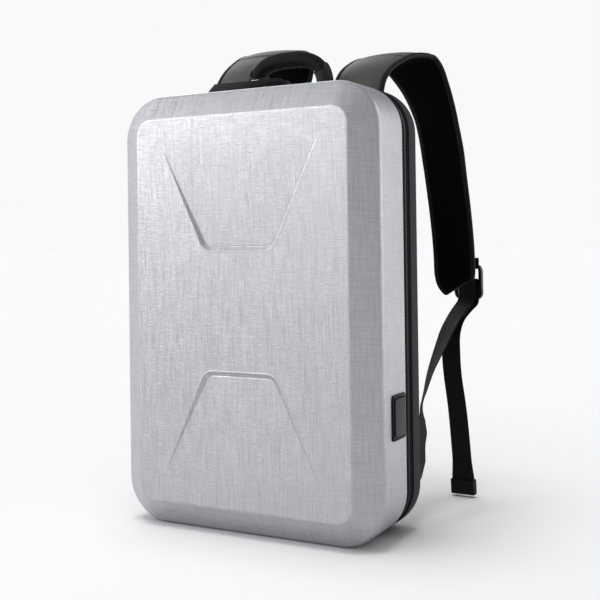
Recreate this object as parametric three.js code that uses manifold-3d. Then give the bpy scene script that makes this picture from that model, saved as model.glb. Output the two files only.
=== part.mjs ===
// A hard shell backpack: a moulded silver front shell zipped to a black rear half,
// with two padded shoulder straps, a carry handle and a combination lock on top.
// Millimetres. X is the width, +Z is up, the front panel faces -Y, and the flat
// bottom of the case stands on Z = 0.

import * as THREE from 'three';
import { mergeVertices } from 'three/addons/utils/BufferGeometryUtils.js';
import Module from 'manifold-3d';

const wasm = await Module();
wasm.setup();

// Case
const CASE_WIDTH = 305;
const CASE_HEIGHT = 460;
const CASE_CORNER = 48;      // radius of the outline's corners
const BEVEL = 27.5;          // how far the front panel is set in from the outline
const PANEL_CORNER = 17;     // radius of the front panel's corners
const PANEL_DEPTH = 17;      // from the front panel back to the ridge
const SIDE_DEPTH = 55;       // from the ridge to the silver rim
const REAR_DEPTH = 27;       // side and rounded edge of the rear half
const REAR_EDGE = 15;        // radius of that rounded edge
const FRONT_WALL = 2.5;
const REAR_WALL = 3;
const FIT = 0.3;             // clearance between pieces that touch

// Pressed facets in the front panel
const FACET_DEPTH = 3.5;
const FACET_REACH = 104;     // from the deep end to where a facet runs out
const FACET_BASE = 39.5;     // half width at the deep end
const FACET_END = 90;        // half width where it runs out
const FACET_OFFSET = 64.5;   // from the middle of the panel to the deep end
const FACET_CORNER = 9;
const FACET_OVERRUN = 0.25;  // share of the reach by which the cut runs on past its end

// Zip band, from the silver rim to the rear half
const RIM_GROOVE = 2.2;
const TAPE_FRONT = 5.6;
const CHAIN_WIDTH = 3.6;
const TAPE_REAR = 4;
const REAR_GROOVE = 2.6;
const TAPE_THICK = 1.4;
const TAPE_INSET = 0.9;      // the tapes lie this far inside the outline
const TAPE_FLANGE = 5.5;     // width sewn behind the shell's rim
const CHAIN_THICK = 2.4;
const CHAIN_INSET = 0.4;

// Back pad
const PAD_WIDTH = 236;
const PAD_HEIGHT = 330;
const PAD_THICK = 9;
const PAD_CORNER = 30;
const PAD_GAP = 20.3;        // from the straps' sewn ends down to the pad's top

// Charging port on the right side wall
const PORT_WIDTH = 33;       // along Y
const PORT_HEIGHT = 45;      // along Z
const PORT_CORNER = 3.5;
const PORT_FLANGE = 1.3;
const PORT_RIM = 3;          // flange outside the hole in the shell
const PORT_BACK = 4;         // from the port's rear edge to the silver rim
const PORT_Z = 126.3;
const PORT_BODY = 9;         // depth of the body behind the wall
const COVER_RIM = 3.4;       // frame showing round the cover
const COVER_SEAT = 1;        // recess that the cover lies in
const COVER_PROUD = 1.6;     // the cover stands this far above the frame

// Lock on top of the front shell
const LOCK_LENGTH = 98;
const LOCK_WIDTH = 21;
const LOCK_HEIGHT = 13;
const LOCK_SLOPE = 9;        // length of the sloping ends
const LOCK_SILL = 4.5;       // height of the ends below the slope
const LOCK_X = -17;          // middle of the lock
const LOCK_BACK = 1.5;       // from the lock's rear face to the silver rim
const DIAL_COUNT = 3;
const DIAL_RADIUS = 6.2;
const DIAL_WIDTH = 5.2;
const DIAL_PITCH = 8;
const DIAL_PROUD = 1.2;      // the dials stand this far above the lock
const DIAL_FROM_END = 39;    // from the lock's left end to the middle dial
const AXLE_SEAT = 1;         // length of axle in the lock past each outer dial's slot
const DIAL_TEETH = 20;
const DIAL_EDGE = 0.45;      // chamfer of a dial's rims
const AXLE_RADIUS = 1.4;
const RUNNING = 0.4;         // clearance round what turns or slides
const RELEASE_FROM_END = 57; // from the lock's left end to the release
const RELEASE_LENGTH = 9;
const RELEASE_WIDTH = 10;
const RELEASE_PROUD = 1.4;
const RELEASE_TRAVEL = 4;
const RELEASE_FOOT = 2;      // foot under the lock's lid, on each side
const RELEASE_SEAT = 6;      // depth of the release below the lid's top
const LID = 2;               // thickness of the lid over the foot

// Zip sliders and the pulls fastened in the lock
const PULL_FROM_END = [7, 22];   // from the lock's left end to each pull
const PULL_WIDTH = 6;
const PULL_THICK = 2.2;
const PULL_REACH = 14;       // length lying in the lock's notch
const SLIDER_LENGTH = 10;
const SLIDER_WIDTH = 8.4;
const SLIDER_PLATE = 2;
const POST_RADIUS = 1.5;
const POST_HEAD = 2.4;
const HEAD_THICK = 1;

// Carry handle
const HANDLE_SPAN = 89;      // between the middles of the feet
const HANDLE_TOP = 53;       // height of the grip's top above the case
const HANDLE_WIDTH = 23;     // along Y
const HANDLE_Y = 1;          // middle of the handle in front of the rear face
const GRIP_THICK = 12;
const GRIP_LOW = 21;         // height of the grip's ends above the case
const FOOT_THICK = 2.6;
const FOOT_WIDTH = 19.3;
const FOOT_DROP = 24;        // how far a foot runs down the rear face
const FOOT_TUCK = 6;         // how far a foot runs up inside the grip's end

// Shoulder straps
const STRAP_WIDTH = 78;
const STRAP_THICK = 11;
const STRAP_EDGE = 5;        // width of the thinner bound edge
const STRAP_ANCHOR = 79;     // from the middle of the case to the strap's upper end
const STRAP_SPREAD = { left: 44, right: 63 };   // how far outwards the lower end lies
const STRAP_DROP = 217;      // from the case's top down to the lower end
const STRAP_SEWN = 0.22;     // share of the drop at which the upper end is sewn on
const STRAP_REACH = { left: 164, right: 148 };   // how far behind the case a strap stands
const STRAP_RISE = { left: 78, right: 56.5 };

// Webbing, adjusters and lower tabs
const WEB_WIDTH = 25;
const WEB_THICK = 1.6;
const ADJUSTER_WIDTH = 39;
const ADJUSTER_LENGTH = 42;
const ADJUSTER_THICK = 4;
const ADJUSTER_CORNER = 9;
const ADJUSTER_RAIL = 4;
const ADJUSTER_BAR = 3;
const ADJUSTER_TURN = 72;    // degrees that the adjuster is turned from facing sideways
const ADJUSTER_OUT = 10.5;     // from the strap's middle outwards to the adjuster's
const ADJUSTER_OFF = 14.5;   // from the strap's middle plane back past its face
const ADJUSTER_UP = 7;        // from the strap's lower end up to the adjuster's middle
const BEND = 3.6;            // radius of the webbing's middle round a bar
const LOOP_LENGTH = 38;      // from the adjuster's upper bar to the loop's sewn end
const LOOP_STEP = 7;         // how far the loop's sewn end lies inwards of the adjuster
const LOOP_BACK = 9;         // length of the loop's shorter, outer side
const WEB_SWAY = { left: 5, right: 10 };   // how far the taut webbing swings inwards of a straight run
const TAB_FROM_EDGE = 12.5;  // from the side of the case in to the tab
const TAB_THICK = 2.6;
const TAB_LENGTH = 36;
const TAB_LOW = 34;
const TAB_HIGH = 122;
const TAIL_FLOOR = 3;        // height of the tail's end above the ground
const TAIL_FOLD = 22;        // length of the folded end
const TAIL_SWAY = 12;        // how far the tail swings inwards below the adjuster
const TAIL_FORE = 28;        // how far it swings forwards

// Faceting
const CORNER_STEPS = 6;
const FINE_STEPS = 5;
const STRAP_STATIONS = 48;
const WEB_STATIONS = 60;

// Places worked out from the sizes
const ZIP_DEPTH = RIM_GROOVE + TAPE_FRONT + CHAIN_WIDTH + TAPE_REAR + REAR_GROOVE + 4 * FIT;
const CASE_DEPTH = PANEL_DEPTH + SIDE_DEPTH + ZIP_DEPTH + REAR_DEPTH;
const FRONT_Y = -CASE_DEPTH / 2;
const RIDGE_Y = FRONT_Y + PANEL_DEPTH;
const RIM_Y = RIDGE_Y + SIDE_DEPTH;
const CHAIN_Y = RIM_Y + RIM_GROOVE + TAPE_FRONT + FIT;
const REAR_RIM_Y = RIM_Y + ZIP_DEPTH;
const REAR_Y = FRONT_Y + CASE_DEPTH;
const HALF = CASE_WIDTH / 2;
const RAD = Math.PI / 180;

const COLOURS = {
  silver: { color: 0xc9cacf, roughness: 0.38, metalness: 0.15 },
  moulded: { color: 0x1c1c1f, roughness: 0.6, metalness: 0 },
  cloth: { color: 0x2b2a2a, roughness: 0.9, metalness: 0 },
  webbing: { color: 0x262628, roughness: 0.8, metalness: 0 },
  gloss: { color: 0x101012, roughness: 0.25, metalness: 0 },
  port: { color: 0x3a3a40, roughness: 0.45, metalness: 0 },
  metal: { color: 0xd6d6d8, roughness: 0.25, metalness: 1 },
};

// Mesh building

// A closed geometry from points and triangles, turned so that its faces point out.
function closedBody(points, triangles) {
  let volume = 0;
  for (const [a, b, c] of triangles) {
    volume += points[a].dot(new THREE.Vector3().crossVectors(points[b], points[c]));
  }
  const index = triangles.flatMap(([a, b, c]) => (volume > 0 ? [a, b, c] : [a, c, b]));
  const geometry = new THREE.BufferGeometry();
  geometry.setAttribute('position', new THREE.Float32BufferAttribute(points.flatMap((p) => p.toArray()), 3));
  geometry.setIndex(index);
  return geometry;
}

// A skin over loops of equal length. Convex ends are capped, unless the last loop joins the first.
function loft(loops, joined = false) {
  const count = loops[0].length;
  const triangles = [];
  const last = joined ? loops.length : loops.length - 1;
  for (let row = 0; row < last; row += 1) {
    const next = (row + 1) % loops.length;
    for (let i = 0; i < count; i += 1) {
      const j = (i + 1) % count;
      const [a, b, c, d] = [row * count + i, row * count + j, next * count + j, next * count + i];
      triangles.push([a, b, c], [a, c, d]);
    }
  }
  if (!joined) {
    const end = (loops.length - 1) * count;
    for (let i = 1; i < count - 1; i += 1) {
      triangles.push([0, i + 1, i], [end, end + i, end + i + 1]);
    }
  }
  return closedBody(loops.flat(), triangles);
}

function toSolid(geometry) {
  const bare = geometry.clone();
  bare.deleteAttribute('normal');
  bare.deleteAttribute('uv');
  const merged = mergeVertices(bare, 1e-4);
  return new wasm.Manifold(new wasm.Mesh({
    numProp: 3,
    vertProperties: new Float32Array(merged.attributes.position.array),
    triVerts: new Uint32Array(merged.index.array),
  }));
}

function toGeometry(solid) {
  const mesh = solid.getMesh();
  const geometry = new THREE.BufferGeometry();
  geometry.setAttribute('position', new THREE.Float32BufferAttribute(mesh.vertProperties, 3));
  geometry.setIndex(new THREE.BufferAttribute(mesh.triVerts, 1));
  return geometry;
}

function cut(geometry, ...cutters) {
  return toGeometry(cutters.reduce((solid, cutter) => solid.subtract(toSolid(cutter)), toSolid(geometry)));
}

function join(geometry, ...others) {
  return toGeometry(others.reduce((solid, other) => solid.add(toSolid(other)), toSolid(geometry)));
}

function box(x, y, z, at) {
  return new THREE.BoxGeometry(x, y, z).translate(...at);
}

// A rounded rectangle as points [across, up], starting at its lower right corner.
function roundedRectangle(width, height, radius, steps) {
  const points = [];
  const corners = [[1, -1], [1, 1], [-1, 1], [-1, -1]];
  corners.forEach(([right, up], quarter) => {
    const [cx, cy] = [right * (width / 2 - radius), up * (height / 2 - radius)];
    for (let i = 0; i <= steps; i += 1) {
      const angle = (quarter - 1 + i / steps) * Math.PI / 2;
      points.push([cx + radius * Math.cos(angle), cy + radius * Math.sin(angle)]);
    }
  });
  return points;
}

// The case's outline at one depth, set in from the full size.
function caseLoop(y, inset, radius = CASE_CORNER - inset) {
  return roundedRectangle(CASE_WIDTH - 2 * inset, CASE_HEIGHT - 2 * inset, radius, CORNER_STEPS)
    .map(([x, z]) => new THREE.Vector3(x, y, z + CASE_HEIGHT / 2));
}

// A band round the case: a small profile of [y, inset] corners carried along the outline.
// from and to count the outline's points, with fractions between them.
function bandSections(profile, from, to) {
  const loops = profile.map(([y, inset]) => caseLoop(y, inset));
  const count = loops[0].length;
  const stations = [from];
  for (let i = Math.floor(from) + 1; i < to; i += 1) stations.push(i);
  stations.push(to);
  return stations.map((station) => {
    const [whole, part] = [Math.floor(station), station - Math.floor(station)];
    return loops.map((loop) => loop[whole % count].clone().lerp(loop[(whole + 1) % count], part));
  });
}

function closedBand(profile) {
  return loft(profile.map(([y, inset]) => caseLoop(y, inset)), true);
}

function smoothPath(points) {
  return new THREE.CatmullRomCurve3(points, false, 'centripetal');
}

// A flat strip through sections of {at, across, profile}. A profile is points
// [across, through], and the strip's own direction squares the section up.
function strip(sections) {
  const loops = sections.map(({ at, across, profile }, i) => {
    const before = sections[Math.max(0, i - 1)].at;
    const after = sections[Math.min(sections.length - 1, i + 1)].at;
    const along = after.clone().sub(before).normalize();
    const wide = across.clone().addScaledVector(along, -across.dot(along)).normalize();
    const through = new THREE.Vector3().crossVectors(along, wide);
    return profile.map(([u, v]) => at.clone().addScaledVector(wide, u).addScaledVector(through, v));
  });
  return loft(loops);
}

const pieces = new THREE.Group();

function add(name, geometry, finish) {
  const mesh = new THREE.Mesh(geometry, new THREE.MeshStandardMaterial(COLOURS[finish]));
  mesh.name = name;
  pieces.add(mesh);
}

// Front shell

// Columns: depth as a share of PANEL_DEPTH, inset as a share of BEVEL.
const FRONT_SECTIONS = [
  { depth: 0, inset: 1.03 },
  { depth: 0.035, inset: 0.985 },
  { depth: 0.86, inset: 0.145 },
  { depth: 0.97, inset: 0.045 },
  { depth: 1.12, inset: 0 },
];

function cornerAt(inset) {
  return THREE.MathUtils.lerp(CASE_CORNER, PANEL_CORNER, inset / BEVEL);
}

function frontForm() {
  const loops = FRONT_SECTIONS.map(({ depth, inset }) => caseLoop(
    FRONT_Y + depth * PANEL_DEPTH,
    inset * BEVEL,
    cornerAt(inset * BEVEL),
  ));
  loops.push(caseLoop(RIM_Y, 0));
  return loft(loops);
}

// The hollow keeps one wall's distance from the panel, the bevel and the sides.
function frontHollow() {
  const slope = Math.atan2(PANEL_DEPTH, BEVEL);
  const panelInset = BEVEL + FRONT_WALL * Math.tan(slope / 2);
  const ridgeDepth = PANEL_DEPTH * (1 - FRONT_WALL / BEVEL) + FRONT_WALL / Math.cos(slope);
  return loft([
    caseLoop(FRONT_Y + FRONT_WALL, panelInset, cornerAt(panelInset)),
    caseLoop(FRONT_Y + ridgeDepth, FRONT_WALL, cornerAt(FRONT_WALL)),
    caseLoop(RIM_Y + FRONT_WALL, FRONT_WALL, cornerAt(FRONT_WALL)),
  ]);
}

// What a facet takes out of the front form. Its floor slopes from FACET_DEPTH at the deep
// end to nothing, and its walls lean out at 45 degrees. wall moves it back inside the shell.
function facetCut(side, wall) {
  const lean = (FACET_END - FACET_BASE) / FACET_REACH;
  const legAngle = Math.atan(lean);
  const lift = FACET_DEPTH / 2;
  const reach = FACET_REACH * (1 + FACET_OVERRUN);
  const sweep = Math.PI / 2 - legAngle;
  const cornerX = FACET_BASE - FACET_CORNER * Math.tan(sweep / 2);
  const right = [];
  for (let i = 0; i <= FINE_STEPS; i += 1) {
    const angle = -Math.PI / 2 + sweep * i / FINE_STEPS;
    const [nu, nw] = [Math.cos(angle), Math.sin(angle)];
    right.push({ u: cornerX + FACET_CORNER * nu, w: FACET_CORNER * (1 + nw), nu, nw });
  }
  const leg = { nu: Math.cos(legAngle), nw: -Math.sin(legAngle) };
  right.push({ u: FACET_BASE + lean * reach, w: reach, ...leg });
  const left = right.map((p) => ({ ...p, u: -p.u, nu: -p.nu })).reverse();
  const outline = [...right, ...left];
  const floorInset = -FACET_DEPTH / 2 + wall * Math.tan(Math.PI / 8);
  const place = (p, shift, depth) => new THREE.Vector3(
    p.u + p.nu * shift,
    FRONT_Y + depth + wall,
    CASE_HEIGHT / 2 + side * (FACET_OFFSET + p.w + p.nw * shift),
  );
  const floor = outline.map((p) => {
    const depth = FACET_DEPTH * (1 - p.w / FACET_REACH);
    return { p, depth };
  });
  return loft([
    floor.map(({ p, depth }) => place(p, floorInset, depth)),
    floor.map(({ p, depth }) => place(p, floorInset + depth + lift, -lift)),
  ]);
}

const PORT_Y = RIM_Y - PORT_BACK - PORT_WIDTH / 2;

// A rounded block whose outline lies in the side wall's plane, from x inner to x outer.
function sideBlock(width, height, radius, inner, outer) {
  const loop = (x) => roundedRectangle(width, height, radius, 3)
    .map(([y, z]) => new THREE.Vector3(x, PORT_Y + y, PORT_Z + z));
  return loft([loop(inner), loop(outer)]);
}

const portHole = (grow) => sideBlock(
  PORT_WIDTH - 2 * PORT_RIM + grow,
  PORT_HEIGHT - 2 * PORT_RIM + grow,
  PORT_CORNER,
  HALF - 2 * PORT_BODY,
  HALF + PORT_BODY,
);

const frontOuter = cut(frontForm(), facetCut(1, 0), facetCut(-1, 0));
const frontInner = cut(frontHollow(), facetCut(1, FRONT_WALL), facetCut(-1, FRONT_WALL));
add('front_shell', cut(frontOuter, frontInner, portHole(0)), 'silver');

// Zip band: two tapes, each sewn behind its shell's rim, and the chain between them

function tapeProfile(rimY, grooveSide, bandStart, bandEnd, wall) {
  const flange = wall + FIT;
  const web = bandStart + grooveSide * TAPE_THICK;
  return [
    [rimY - grooveSide * TAPE_FLANGE, flange],
    [bandStart, flange],
    [bandStart, TAPE_INSET],
    [bandEnd, TAPE_INSET],
    [bandEnd, TAPE_INSET + TAPE_THICK],
    [web, TAPE_INSET + TAPE_THICK],
    [web, flange + TAPE_THICK],
    [rimY - grooveSide * TAPE_FLANGE, flange + TAPE_THICK],
  ];
}

const tapeFrontStart = RIM_Y + RIM_GROOVE;
const tapeRearEnd = REAR_RIM_Y - REAR_GROOVE;
add('zip_tape_front', closedBand(tapeProfile(
  RIM_Y, 1, tapeFrontStart, tapeFrontStart + TAPE_FRONT, FRONT_WALL,
)), 'webbing');
add('zip_tape_rear', closedBand(tapeProfile(
  REAR_RIM_Y, -1, tapeRearEnd, tapeRearEnd - TAPE_REAR, REAR_WALL,
)), 'webbing');

// The chain runs up one side, over the top and down the other, and a cloth hinge takes
// its place along the bottom.
const chainProfile = [
  [CHAIN_Y, CHAIN_INSET],
  [CHAIN_Y + CHAIN_WIDTH, CHAIN_INSET],
  [CHAIN_Y + CHAIN_WIDTH, CHAIN_INSET + CHAIN_THICK],
  [CHAIN_Y, CHAIN_INSET + CHAIN_THICK],
];
const hingeProfile = [
  [CHAIN_Y, TAPE_INSET],
  [CHAIN_Y + CHAIN_WIDTH, TAPE_INSET],
  [CHAIN_Y + CHAIN_WIDTH, TAPE_INSET + TAPE_THICK],
  [CHAIN_Y, TAPE_INSET + TAPE_THICK],
];
const outlineCount = 4 * (CORNER_STEPS + 1);
const chainStart = CORNER_STEPS / 2;
const chainEnd = 3 * (CORNER_STEPS + 1) + CORNER_STEPS / 2;
const stationGap = FIT / (CASE_CORNER * Math.PI / 2 / CORNER_STEPS);
add('zip_chain', loft(bandSections(chainProfile, chainStart, chainEnd)), 'moulded');
add('bottom_hinge', loft(bandSections(
  hingeProfile, chainEnd + stationGap, outlineCount + chainStart - stationGap,
)), 'cloth');

// Rear half: a moulded tray with a rounded rear edge

function rearLoops(grow, rimY, floorY) {
  const radius = REAR_EDGE - grow;
  const loops = [caseLoop(rimY, grow)];
  for (let i = 0; i <= FINE_STEPS; i += 1) {
    const angle = i / FINE_STEPS * Math.PI / 2;
    const inset = grow + radius * (1 - Math.cos(angle));
    loops.push(caseLoop(floorY - radius * (1 - Math.sin(angle)), inset, CASE_CORNER - inset));
  }
  return loops;
}

const rearForm = (grow) => loft(rearLoops(-grow, REAR_RIM_Y, REAR_Y + grow));
add('back_shell', cut(
  rearForm(0),
  loft(rearLoops(REAR_WALL, REAR_RIM_Y - REAR_WALL, REAR_Y - REAR_WALL)),
), 'moulded');

// Back pad

// Columns: depth as a share of PAD_THICK, inset as a share of PAD_THICK.
const PAD_TOP = CASE_HEIGHT - STRAP_SEWN * STRAP_DROP - PAD_GAP;
const PAD_SECTIONS = [
  { depth: 0, inset: 0.25 },
  { depth: 0.3, inset: 0 },
  { depth: 0.75, inset: 0.25 },
  { depth: 1, inset: 1.1 },
];
add('back_pad', loft(PAD_SECTIONS.map(({ depth, inset }) => {
  const set = inset * PAD_THICK;
  return roundedRectangle(PAD_WIDTH - 2 * set, PAD_HEIGHT - 2 * set, PAD_CORNER - set, CORNER_STEPS)
    .map(([x, z]) => new THREE.Vector3(x, REAR_Y + FIT + depth * PAD_THICK, PAD_TOP - PAD_HEIGHT / 2 + z));
})), 'cloth');

// Charging port: a framed body through the side wall, under a soft cover

const portFace = HALF + FIT + PORT_FLANGE;
const coverWidth = PORT_WIDTH - 2 * COVER_RIM;
const coverHeight = PORT_HEIGHT - 2 * COVER_RIM;
add('port_frame', cut(
  join(
    sideBlock(PORT_WIDTH, PORT_HEIGHT, PORT_CORNER, HALF + FIT, portFace),
    sideBlock(
      PORT_WIDTH - 2 * PORT_RIM - 2 * FIT,
      PORT_HEIGHT - 2 * PORT_RIM - 2 * FIT,
      PORT_CORNER,
      HALF - PORT_BODY,
      portFace - PORT_FLANGE / 2,
    ),
  ),
  sideBlock(coverWidth, coverHeight, PORT_CORNER, portFace - COVER_SEAT, portFace + PORT_FLANGE),
), 'gloss');
add('port_cover', sideBlock(
  coverWidth - 2 * FIT,
  coverHeight - 2 * FIT,
  PORT_CORNER - FIT,
  portFace - COVER_SEAT + FIT,
  portFace + COVER_PROUD,
), 'port');

// Lock

const LOCK_Y = RIM_Y - LOCK_BACK - LOCK_WIDTH / 2;
const LOCK_BASE = CASE_HEIGHT + FIT;
const LOCK_TOP = LOCK_BASE + LOCK_HEIGHT;
const DIAL_Z = LOCK_TOP + DIAL_PROUD - DIAL_RADIUS;
const LOCK_LEFT = LOCK_X - LOCK_LENGTH / 2;
const DIAL_MID = LOCK_LEFT + DIAL_FROM_END;
const RELEASE_MID = LOCK_LEFT + RELEASE_FROM_END;
const PULL_Z = LOCK_TOP - PULL_THICK / 2;
const dialX = (i) => DIAL_MID + DIAL_PITCH * (i - (DIAL_COUNT - 1) / 2);
const pullX = PULL_FROM_END.map((fromEnd) => LOCK_LEFT + fromEnd);

function alongX(radius, length, sides, at) {
  return new THREE.CylinderGeometry(radius, radius, length, sides).rotateZ(Math.PI / 2).translate(...at);
}

function lockBody() {
  const outline = new THREE.Shape([
    new THREE.Vector2(-LOCK_LENGTH / 2, 0),
    new THREE.Vector2(LOCK_LENGTH / 2, 0),
    new THREE.Vector2(LOCK_LENGTH / 2, LOCK_SILL),
    new THREE.Vector2(LOCK_LENGTH / 2 - LOCK_SLOPE, LOCK_HEIGHT),
    new THREE.Vector2(LOCK_SLOPE - LOCK_LENGTH / 2, LOCK_HEIGHT),
    new THREE.Vector2(-LOCK_LENGTH / 2, LOCK_SILL),
  ]);
  const block = new THREE.ExtrudeGeometry(outline, { depth: LOCK_WIDTH, bevelEnabled: false })
    .rotateX(Math.PI / 2)
    .translate(LOCK_X, LOCK_Y + LOCK_WIDTH / 2, LOCK_BASE);
  const room = DIAL_RADIUS + RUNNING;
  const dialSlots = Array.from({ length: DIAL_COUNT }, (_, i) => box(
    DIAL_WIDTH + 2 * RUNNING,
    2 * room,
    2 * room,
    [dialX(i), LOCK_Y, DIAL_Z],
  ));
  const notches = pullX.map((x) => box(
    PULL_WIDTH + 2 * RUNNING,
    PULL_REACH + RUNNING + LOCK_BACK,
    2 * PULL_THICK + 2 * RUNNING,
    [x, LOCK_Y + LOCK_WIDTH / 2 - (PULL_REACH + RUNNING - LOCK_BACK) / 2, LOCK_TOP],
  ));
  const throat = box(
    RELEASE_LENGTH + RELEASE_TRAVEL + 2 * RUNNING,
    RELEASE_WIDTH + 2 * RUNNING,
    2 * RELEASE_SEAT,
    [RELEASE_MID + RELEASE_TRAVEL / 2, LOCK_Y, LOCK_TOP],
  );
  const footRoom = box(
    RELEASE_LENGTH + RELEASE_TRAVEL + 2 * RUNNING,
    RELEASE_WIDTH + 2 * RELEASE_FOOT + 2 * RUNNING,
    RELEASE_SEAT - LID,
    [RELEASE_MID + RELEASE_TRAVEL / 2, LOCK_Y, LOCK_TOP - (RELEASE_SEAT + LID) / 2],
  );
  const axleLength = DIAL_PITCH * (DIAL_COUNT - 1) + DIAL_WIDTH + 2 * (RUNNING + AXLE_SEAT);
  const axle = alongX(AXLE_RADIUS, axleLength, 12, [DIAL_MID, LOCK_Y, DIAL_Z]);
  return join(cut(block, ...dialSlots, ...notches, throat, footRoom), axle);
}

add('lock_body', lockBody(), 'gloss');

for (let i = 0; i < DIAL_COUNT; i += 1) {
  const profile = [
    new THREE.Vector2(AXLE_RADIUS + RUNNING, -DIAL_WIDTH / 2),
    new THREE.Vector2(DIAL_RADIUS - DIAL_EDGE, -DIAL_WIDTH / 2),
    new THREE.Vector2(DIAL_RADIUS, DIAL_EDGE * 2 - DIAL_WIDTH / 2),
    new THREE.Vector2(DIAL_RADIUS, DIAL_WIDTH / 2 - DIAL_EDGE * 2),
    new THREE.Vector2(DIAL_RADIUS - DIAL_EDGE, DIAL_WIDTH / 2),
    new THREE.Vector2(AXLE_RADIUS + RUNNING, DIAL_WIDTH / 2),
    new THREE.Vector2(AXLE_RADIUS + RUNNING, -DIAL_WIDTH / 2),
  ];
  const dial = new THREE.LatheGeometry(profile, DIAL_TEETH)
    .rotateZ(Math.PI / 2)
    .translate(dialX(i), LOCK_Y, DIAL_Z);
  add(`lock_dial_${i + 1}`, toGeometry(toSolid(dial)), 'metal');
}

const releaseHeight = RELEASE_SEAT + RELEASE_PROUD - RUNNING;
const footHeight = RELEASE_SEAT - LID - 2 * RUNNING;
add('lock_release', join(
  box(RELEASE_LENGTH, RELEASE_WIDTH, releaseHeight, [
    RELEASE_MID, LOCK_Y, LOCK_TOP + RELEASE_PROUD - releaseHeight / 2,
  ]),
  box(RELEASE_LENGTH, RELEASE_WIDTH + 2 * RELEASE_FOOT, footHeight, [
    RELEASE_MID, LOCK_Y, LOCK_TOP - RELEASE_SEAT + RUNNING + footHeight / 2,
  ]),
), 'metal');

// Zip sliders on the chain, each with a post that its pull turns on

const SLIDER_Y = CHAIN_Y + CHAIN_WIDTH / 2;
const chainTop = CASE_HEIGHT - CHAIN_INSET;
const tapeTop = CASE_HEIGHT - TAPE_INSET;
const sliderBottom = chainTop + FIT;
const upright = (radius, low, high, sides, x) => new THREE.CylinderGeometry(radius, radius, high - low, sides)
  .rotateX(Math.PI / 2)
  .translate(x, SLIDER_Y, (low + high) / 2);

['left', 'right'].forEach((side, i) => {
  const x = pullX[i];
  const plateTop = sliderBottom + SLIDER_PLATE;
  const skirt = (SLIDER_WIDTH - CHAIN_WIDTH) / 2 - FIT;
  const skirts = [-1, 1].map((edge) => box(SLIDER_LENGTH, skirt, plateTop - tapeTop - FIT, [
    x, SLIDER_Y + edge * (SLIDER_WIDTH - skirt) / 2, (plateTop + tapeTop + FIT) / 2,
  ]));
  const headLow = PULL_Z + PULL_THICK / 2 + FIT;
  add(`zip_slider_${side}`, join(
    box(SLIDER_LENGTH, SLIDER_WIDTH, SLIDER_PLATE, [x, SLIDER_Y, sliderBottom + SLIDER_PLATE / 2]),
    ...skirts,
    upright(POST_HEAD, sliderBottom, PULL_Z - PULL_THICK / 2 - FIT, 12, x),
    upright(POST_RADIUS, plateTop, headLow + HEAD_THICK, 12, x),
    upright(POST_HEAD, headLow, headLow + HEAD_THICK, 12, x),
  ), 'metal');

  const eyeEnd = SLIDER_Y + POST_HEAD + 1;
  const tipEnd = LOCK_Y + LOCK_WIDTH / 2 - PULL_REACH;
  const tab = box(PULL_WIDTH, eyeEnd - tipEnd, PULL_THICK, [x, (eyeEnd + tipEnd) / 2, PULL_Z]);
  const eye = upright(POST_RADIUS + FIT, PULL_Z - PULL_THICK, PULL_Z + PULL_THICK, 12, x);
  add(`zip_pull_${side}`, cut(tab, eye), 'metal');
});

// Carry handle: a padded grip between two cloth feet that run down the rear face

const HANDLE_MID = REAR_Y - HANDLE_Y;

// Columns: across as a share of half the span, up as a share of the grip's rise.
const GRIP_PATH = [
  { across: -1.0, up: 0 },
  { across: -0.97, up: 0.33 },
  { across: -0.84, up: 0.62 },
  { across: -0.6, up: 0.84 },
  { across: -0.3, up: 0.96 },
  { across: 0, up: 1 },
  { across: 0.3, up: 0.96 },
  { across: 0.6, up: 0.84 },
  { across: 0.84, up: 0.62 },
  { across: 0.97, up: 0.33 },
  { across: 1.0, up: 0 },
];
const gripRise = HANDLE_TOP - GRIP_LOW - GRIP_THICK / 2;
const gripCurve = smoothPath(GRIP_PATH.map(({ across, up }) => new THREE.Vector3(
  across * HANDLE_SPAN / 2,
  HANDLE_MID,
  CASE_HEIGHT + GRIP_LOW + up * gripRise,
)));

const CROWN = 1.05;   // a padded section's middle, as a share of its thickness
const RIM = 0.4;      // its outer edge, as a share of its thickness

// A padded section: full in the middle, narrower at its edges.
function paddedProfile(width, thick, edge) {
  const [w, t] = [width / 2, thick / 2];
  return [
    [-w, -t * RIM], [-w + edge, -t], [0, -t * CROWN], [w - edge, -t], [w, -t * RIM],
    [w, t * RIM], [w - edge, t], [0, t * CROWN], [-w + edge, t], [-w, t * RIM],
  ];
}

const GRIP_STATIONS = 22;
const GRIP_END = 0.62;       // thickness at the grip's ends, as a share of the middle's
const GRIP_NARROW = 0.86;    // width left where the grip has no thickness
const grip = strip(Array.from({ length: GRIP_STATIONS + 1 }, (_, i) => {
  const t = i / GRIP_STATIONS;
  const full = THREE.MathUtils.lerp(GRIP_END, 1, Math.sqrt(Math.sin(Math.PI * t)));
  return {
    at: gripCurve.getPointAt(t),
    across: new THREE.Vector3(0, 1, 0),
    profile: paddedProfile(
      HANDLE_WIDTH * THREE.MathUtils.lerp(GRIP_NARROW, 1, full),
      GRIP_THICK * full,
      GRIP_THICK / 4,
    ),
  };
}));

function footPlate(side, grow) {
  const x = side * HANDLE_SPAN / 2;
  const half = FOOT_WIDTH / 2;
  const outline = [
    [HANDLE_MID - half - grow, CASE_HEIGHT + GRIP_LOW + FOOT_TUCK + grow],
    [HANDLE_MID - half - grow, CASE_HEIGHT - FOOT_DROP],
    [REAR_Y + FOOT_THICK, CASE_HEIGHT - FOOT_DROP - grow],
    [HANDLE_MID + half + grow, CASE_HEIGHT],
    [HANDLE_MID + half + grow, CASE_HEIGHT + GRIP_LOW + FOOT_TUCK + grow],
  ];
  return loft([-1, 1].map((face) => outline
    .map(([y, z]) => new THREE.Vector3(x + face * (FOOT_THICK / 2 + grow), y, z))));
}

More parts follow.
